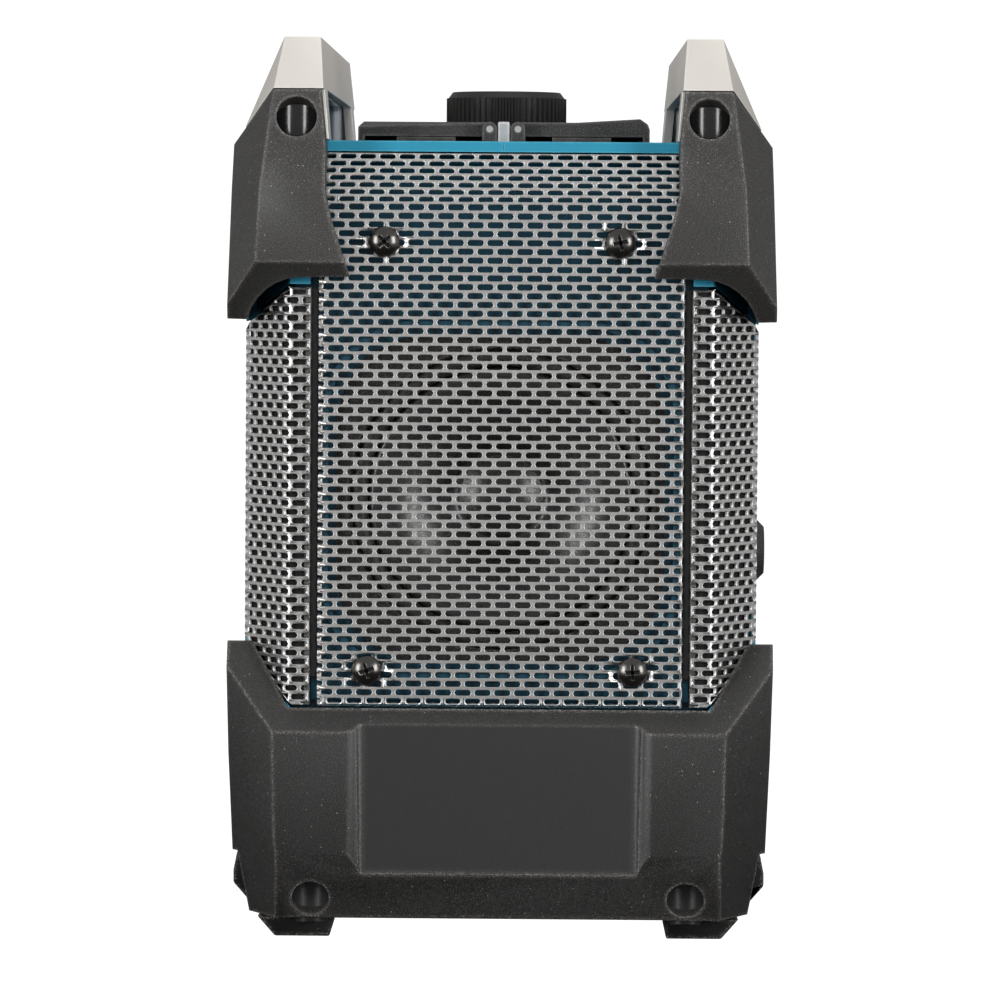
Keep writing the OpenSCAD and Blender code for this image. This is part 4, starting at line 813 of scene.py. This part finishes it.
def round_panel(bm):
    """Lean the sunk panel's upright walls outwards and round them, as the mould has it."""
    for vert in bm.verts:
        if at_wall(vert, panel_half, 19, 70) and abs(vert.co.x) < bumper_skin_x:
            vert.co.y -= copysign(panel_lean, vert.co.y)
    rim = sharp_edges(bm, 60, lambda e: e.is_convex and along_wall(e, panel_half, 19, 70))
    round_off(bm, rim, panel_rim_radius, 6)
    panel_foot = panel_half - panel_lean
    root = sharp_edges(bm, 25, lambda e: not e.is_convex and along_wall(e, panel_foot, 15, 75))
    round_off(bm, root, panel_foot_radius, 5)
    print("panel rim and foot:", len(rim), len(root), "edges")

for end, _ in ends:
    soft_piece(end + "_lower_bumper", end + "_lower_rubber", "black_rubber", radius=0.9,
               shape=round_panel, look="lower_rubber")

# %% Roll bars and their finger pockets
for flank, _ in flanks:
    soft_piece(flank + "_roll_bar", flank + "_silver_bar", "silver_paint", radius=0.7)
soft_piece("grip_liners", "finger_pockets", "gloss_grey_plastic", radius=0.4)

# %% Covers, spine, feet, keys and the rubber cap
keys = ("power", "source", "menu", "preset_1", "preset_2", "preset_3")
lid_chamfer = 1.7 * MM
short_edge = 12 * MM

def chamfer_lid(bm):
    """Cut a wide chamfer along the long top edges of a cover."""
    top = max(v.co.z for v in bm.verts)
    rim = sharp_edges(bm, 60, lambda e: e.is_convex and e.calc_length() > short_edge and all(
        v.co.z > top - 0.05 * MM for v in e.verts))
    round_off(bm, rim, lid_chamfer, 1)

for flank, _ in reversed(flanks):
    soft_piece(flank + "_top_cover", flank + "_lid", "black_plastic", flank + "_cover", 0.5, 20,
               chamfer_lid)
soft_piece("cover_spine", "lid_spine", "light_grey_plastic")
soft_piece("feet", "rubber_feet", "black_rubber", look="foot_rubber")
soft_piece("battery_door", "battery_lid", "black_plastic", "door", 0.7)
for key in keys:
    soft_piece(key + "_key", key + "_button", "key_plastic", key + "_key_cap", 0.5)
soft_piece("socket_cap", "socket_flap", "black_rubber", "socket_lid", 0.4)

# %% Gaskets in the gaps between the sheets
mirrors = [(sx, sy) for _, sx in ends for _, sy in flanks]

def block(bm, corner, opposite):
    """A box between any two opposite corners."""
    low, high = (Vector([pick(pair) for pair in zip(corner, opposite)]) for pick in (min, max))
    made = ops.create_cube(bm, size=1.0)["verts"]
    ops.scale(bm, vec=high - low, verts=made)
    ops.translate(bm, vec=(high + low) / 2, verts=made)
    return made

def soft_blocks(name, boxes, radius):
    """One piece of several boxes with rounded edges, each between two opposite corners."""
    bm = bmesh.new()
    for box in boxes:
        block(bm, *box)
    round_off(bm, bm.edges[:], radius, 2, clamp=True)
    return as_piece(bm, name)

gasket_inner_x, gasket_outer_x = 124.7 * MM, 126.6 * MM
gasket_low, gasket_high = 79 * MM, corner_top - 0.5 * MM
gasket_play = 0.15 * MM
gaskets = soft_blocks("sheet_gaskets", [
    ((sx * gasket_inner_x, sy * (centre_half + gasket_play), gasket_low),
     (sx * gasket_outer_x, sy * (seal_side - gasket_play), gasket_high))
    for sx, sy in mirrors], 0.4 * MM)
settle(gaskets, "black_rubber", look="black_cloth")

# %% [markdown]
# Screws come next. A pan head is turned, so its profile is spun round the axis, and its cross
# recess is struck: the head is cut along the arms' edges, and the cross is pushed in with a
# taper. The wells of the bumper screws are lined with a smooth round scoop, because they are
# smooth inside while the rubber outside is grained.

# %% A cross-headed screw
cross_arm, cross_half, cross_depth = 2.35 * MM, 0.48 * MM, 1.7 * MM
cross_taper = 0.7

def turned_solid(profile, steps=32):
    """Spin a closed profile of (radius, height) points round the Z axis."""
    bm = bmesh.new()
    verts = [bm.verts.new((r, 0, z)) for r, z in profile]
    edges = [bm.edges.new(pair) for pair in zip(verts, verts[1:])]
    ops.spin(bm, geom=verts + edges, cent=(0, 0, 0), axis=(0, 0, 1), angle=tau,
             steps=steps, use_merge=True, use_duplicate=False)
    ops.remove_doubles(bm, verts=bm.verts, dist=1e-7)
    ops.recalc_face_normals(bm, faces=bm.faces)
    return bm

def strike_cross(bm, top):
    """Push a tapered cross into a turned head, above a height."""
    for reach in (cross_half, cross_arm):
        for normal in (Vector((1, 0, 0)), Vector((0, 1, 0))):
            for sign in (-1, 1):
                faces = [f for f in bm.faces if f.calc_center_median().z > top]
                geom = list({item: 0 for f in faces for item in (*f.verts, *f.edges)}) + faces
                ops.bisect_plane(bm, geom=geom, dist=1e-7, plane_no=normal,
                                 plane_co=sign * reach * normal)
    cross = []
    for face in bm.faces:
        at = face.calc_center_median()
        near, far = sorted((abs(at.x), abs(at.y)))
        if at.z > top and near < cross_half and far < cross_arm:
            cross.append(face)
    made = ops.extrude_face_region(bm, geom=cross)["geom"]
    bottom = [v for v in made if isinstance(v, bmesh.types.BMVert)]
    ops.delete(bm, geom=cross, context="FACES_KEEP_BOUNDARY")
    ops.translate(bm, vec=(0, 0, -cross_depth), verts=bottom)
    ops.scale(bm, vec=(cross_taper, cross_taper, 1), verts=bottom)
    ops.recalc_face_normals(bm, faces=bm.faces)

def pan_screw(head_r, head_h, shank_r, shank):
    """A pan-head screw, axis up, with the underside of its head at height zero."""
    rise = 0.75 * MM
    dome_r = (head_r ** 2 + (head_h - rise) ** 2) / (2 * (head_h - rise))
    half_angle = asin((head_r - 0.5 * MM) / dome_r)
    dome_steps = 7
    angles = [pi / 2 - half_angle + half_angle * i / dome_steps for i in range(dome_steps)]
    dome = [(dome_r * cos(a), head_h - dome_r + dome_r * sin(a)) for a in angles]
    side = [(head_r, 0.3 * MM), (head_r, rise)]
    under = [(0, -shank), (shank_r, -shank), (shank_r, 0), (head_r - 0.3 * MM, 0)]
    bm = turned_solid(under + side + dome + [(0, head_h)])
    strike_cross(bm, rise + 0.2 * MM)
    return bm

def place_copies(source, places, name):
    """Copies of one bmesh, each moved or mirrored by its own matrix, as one piece."""
    mesh = bpy.data.meshes.new(name)
    source.to_mesh(mesh)
    source.free()
    bm = bmesh.new()
    for matrix in places:
        before, old_faces = set(bm.verts), set(bm.faces)
        bm.from_mesh(mesh)
        ops.transform(bm, matrix=matrix, verts=[v for v in bm.verts if v not in before])
        if matrix.determinant() < 0:
            ops.reverse_faces(bm, faces=[f for f in bm.faces if f not in old_faces])
    bpy.data.meshes.remove(mesh)
    return as_piece(bm, name)

# %% Grille screws
head_sink = 0.9 * MM
places = []
for _, sx in ends:
    outward = Matrix.Rotation(sx * pi / 2, 4, "Y")
    for y, z, turns in screw_places:
        for (_, sy), turn in zip(flanks, turns):
            place = Matrix.Translation((sx * (face_x - head_sink), sy * y, z))
            places.append(place @ outward @ Matrix.Rotation(radians(turn), 4, "Z"))
screws = place_copies(pan_screw(4.6 * MM, 2.5 * MM, 1.7 * MM, 9 * MM), places, "pan_head_screws")
screws.data.shade_smooth()
settle(screws, "black_screw", stands_for="grille_screws")

# %% Painted shade in the cross recesses: black crosses that fill their lower half
arm_reach, arm_half = 2.2 * MM, 0.47 * MM
bm = bmesh.new()
for x, y in ((arm_reach, arm_half), (arm_half, arm_reach)):
    block(bm, (-x, -y, 0.8 * MM), (x, y, 1.75 * MM))
settle(place_copies(bm, places, "screw_recess_painted_shade"), "black_screw", look="black_cloth")

# %% Scoops in the screw wells
bumper_face, side_half = 137 * MM, 78 * MM
scoop_back = 5.6 * MM
scoop_depth = 28 * MM
scoop_sink = 0.35 * MM
scoop_wall = 0.1 * MM
corners = [Matrix.Diagonal((sx, sy, 1, 1)) for sx, sy in mirrors]

def well_scoop(mouth, lean, up, radius):
    """A round upright scoop in the mouth of a well, cut off along a leaning bumper face.

    lean is the face's angle from upright, and up is 1 for a face that looks upwards."""
    face_normal = Vector((cos(lean), 0, up * sin(lean)))
    bm = bmesh.new()
    ops.create_cone(bm, cap_ends=True, cap_tris=False, segments=48, radius1=radius,
                    radius2=radius, depth=scoop_depth, matrix=Matrix.Translation(mouth))
    cut_off(bm, mouth - face_normal * scoop_sink, face_normal)
    for sign in (-1, 1):
        cut_off(bm, mouth + Vector((0, 0, sign * 1.4 * radius)), (0, 0, sign))
    ops.reverse_faces(bm, faces=bm.faces)
    ops.solidify(bm, geom=bm.faces[:], thickness=scoop_wall)
    ops.recalc_face_normals(bm, faces=bm.faces)
    return bm

# name, look, distance in from the side, height, the face's lean and sense, radius
for name, look, inset, z, lean, up, radius in (
        ("upper_well_scoops", "well_gloss", 16.2 * MM, 247.6 * MM, 14.6, 1, 5.95 * MM),
        ("lower_well_scoops", "well_satin", 21.5 * MM, 12.6 * MM, 21.3, -1, 5.5 * MM)):
    mouth = Vector((bumper_face - scoop_back, side_half - inset, z))
    scoops = place_copies(well_scoop(mouth, radians(lean), up, radius), corners, name)
    scoops.data.shade_smooth()
    scoops.data.set_sharp_from_angle(angle=radians(40))
    settle(scoops, "black_rubber", look=look)

# %% [markdown]
# Two soft lights shine back from the speaker cone through the grille. A pressed cone is steep at
# its neck and flat at its rim, and that curve gathers the side lights into two patches. Its
# profile is spun round the speaker's axis, with a dust cap in the middle.

# %% Pressed speaker cones
speaker_z = 132.7 * MM
cone_back_x, cone_neck, cone_rim = 105.5, 13, 40
cone_steps = 14
cone_curve = 1.066 / (2 * (cone_rim - cone_neck))

def pressed_cone(name, sx):
    """A curved cone with its dust cap, neck and thin wall, from (radius, height) points in mm."""
    front = []
    for i in range(cone_steps + 1):
        out = (cone_rim - cone_neck) * i / cone_steps
        front.append((cone_neck + out, 0.4 + out - cone_curve * out * out))
    rear = [(r - 0.1, h - 0.9) for r, h in reversed(front)]
    cap = [(0, 4.2), (5, 3.9), (9.5, 2.6), (12.4, 0.7)]
    neck = [(cone_neck, -5), (12.2, -5), (12.2, -0.2), (8, 1.4), (0, 2.9)]
    profile = [(r * MM, (cone_back_x + h) * MM) for r, h in cap + front + rear + neck]
    bm = turned_solid(profile, 64)
    ops.rotate(bm, matrix=Matrix.Rotation(pi / 2, 3, "Y"), verts=bm.verts)
    ops.translate(bm, vec=(0, 0, speaker_z), verts=bm.verts)
    return set_on_side(bm, name, sx)

for end, sx in ends:
    cone = pressed_cone(end + "_pressed_cone", sx)
    cone.data.shade_smooth()
    settle(cone, "cone_paper", end + "_diaphragm", end + "_cone")

# %% Ledges in the dips of the covers' ends
deck_z = 241.0 * MM
ledge_height = 1.5 * MM
cover_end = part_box("rear_top_cover")[1].x
for flank, sy in flanks:
    ledges = soft_blocks(flank + "_lid_ledges", [
        ((sx * (cover_end - 3 * MM), sy * 14.7 * MM, deck_z),
         (sx * (cover_end - 0.35 * MM), sy * 32.8 * MM, deck_z + ledge_height))
        for _, sx in ends], 0.3 * MM)
    settle(ledges, "black_plastic", flank + "_cover")

# %% [markdown]
# The long front carries the controls. The dial's rim is ribbed for a wet thumb and has a pale
# pointer, and short marks stand round it on the panel and over the keys. They would be printed on
# the real thing; here they are thin plates, so that they keep their place in any view.

# %% Marks round the tuning dial
dial_low, dial_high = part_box("tuning_dial")
panel_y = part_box("front_panel")[0].y
dial_at = Vector(((dial_low.x + dial_high.x) / 2, panel_y, (dial_low.z + dial_high.z) / 2))
mark_ring, mark_half = 12.6 * MM, 0.25 * MM
mark_out, mark_in = 0.12 * MM, 0.02 * MM
mark_step = 27

def ring_of(bm, made, angle, centre):
    """Turn a block about the Y axis and move it to its ring's centre."""
    ops.rotate(bm, verts=made, cent=(0, 0, 0), matrix=Matrix.Rotation(angle, 3, "Y"))
    ops.translate(bm, verts=made, vec=centre)

bm = bmesh.new()
for step in range(11):
    length = (2.6 if step in (0, 5, 10) else 1.6) * MM
    made = block(bm, (-mark_half, -mark_out, mark_ring), (mark_half, mark_in, mark_ring + length))
    ring_of(bm, made, radians(-135 + mark_step * step), dial_at)
settle(as_piece(bm, "dial_marks"), "light_grey_plastic")

# %% Pointer on the tuning dial
pointer = soft_blocks("dial_pointer", [
    ((dial_at.x - 0.5 * MM, dial_low.y - 0.1 * MM, dial_at.z + 2.4 * MM),
     (dial_at.x + 0.5 * MM, dial_low.y + 0.3 * MM, dial_at.z + 6.6 * MM))], 0.08 * MM)
settle(pointer, "light_grey_plastic", "dial")

# %% Ribs round the tuning dial
rib_count = 36
rib_half, rib_foot, rib_top = 0.35 * MM, 10.2 * MM, 10.75 * MM
bm = bmesh.new()
for step in range(rib_count):
    made = block(bm, (-rib_half, dial_low.y + 3.2 * MM, rib_foot),
                 (rib_half, dial_at.y - 0.2 * MM, rib_top))
    ring_of(bm, made, tau * step / rib_count, (dial_at.x, 0, dial_at.z))
settle(as_piece(bm, "dial_ribs"), "black_plastic", "dial", look="knob_black")

# %% Marks over the keys
mark_low, mark_high = 1.6 * MM, 2.1 * MM
bm = bmesh.new()
for key in keys:
    low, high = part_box(key + "_key")
    middle_x = (low.x + high.x) / 2
    half = (3.0 if key == "power" else 1.6) * MM / 2
    block(bm, (middle_x - half, panel_y - mark_out, high.z + mark_low),
          (middle_x + half, panel_y + mark_in, high.z + mark_high))
settle(as_piece(bm, "key_marks"), "light_grey_plastic")

# %% [markdown]
# The floor is a wide sheet that the camera sees as white as the photograph's background. It isn't
# part of the radio. Near the radio it is dark to all other rays, because the photographed slopes
# that face down are almost black; further off it shines back in the steel as the sky does.

# %% Floor
dark_until, bright_from = 0.45, 1.0
bm = bmesh.new()
ops.create_grid(bm, x_segments=1, y_segments=1, size=60.0)
ground = as_piece(bm, "pale_floor")
floor_paint = bpy.data.materials.new("floor_paint")
floor_paint.use_nodes = True
tree = floor_paint.node_tree
shader = tree.nodes["Principled BSDF"].inputs
shader["Roughness"].default_value = 0.9
shader["Specular IOR Level"].default_value = 0.0
slow = pattern(tree, "TexNoise", 3.0, Detail=2.0)
join(blend(slow["Fac"], (60, 60, 60), (70, 70, 70)), shader["Base Color"])
shader["Emission Color"].default_value = (1, 1, 1, 1)
away = add(tree, "VectorMath")
away.operation = "LENGTH"
join(place_on(tree), away.inputs[0])
shine = stretch(away.outputs["Value"], dark_until, bright_from, 0.03, 0.6)
join(by_ray(tree, camera_white, shine, 0.0), shader["Emission Strength"])
ground.data.materials.append(floor_paint)
print("floor laid")
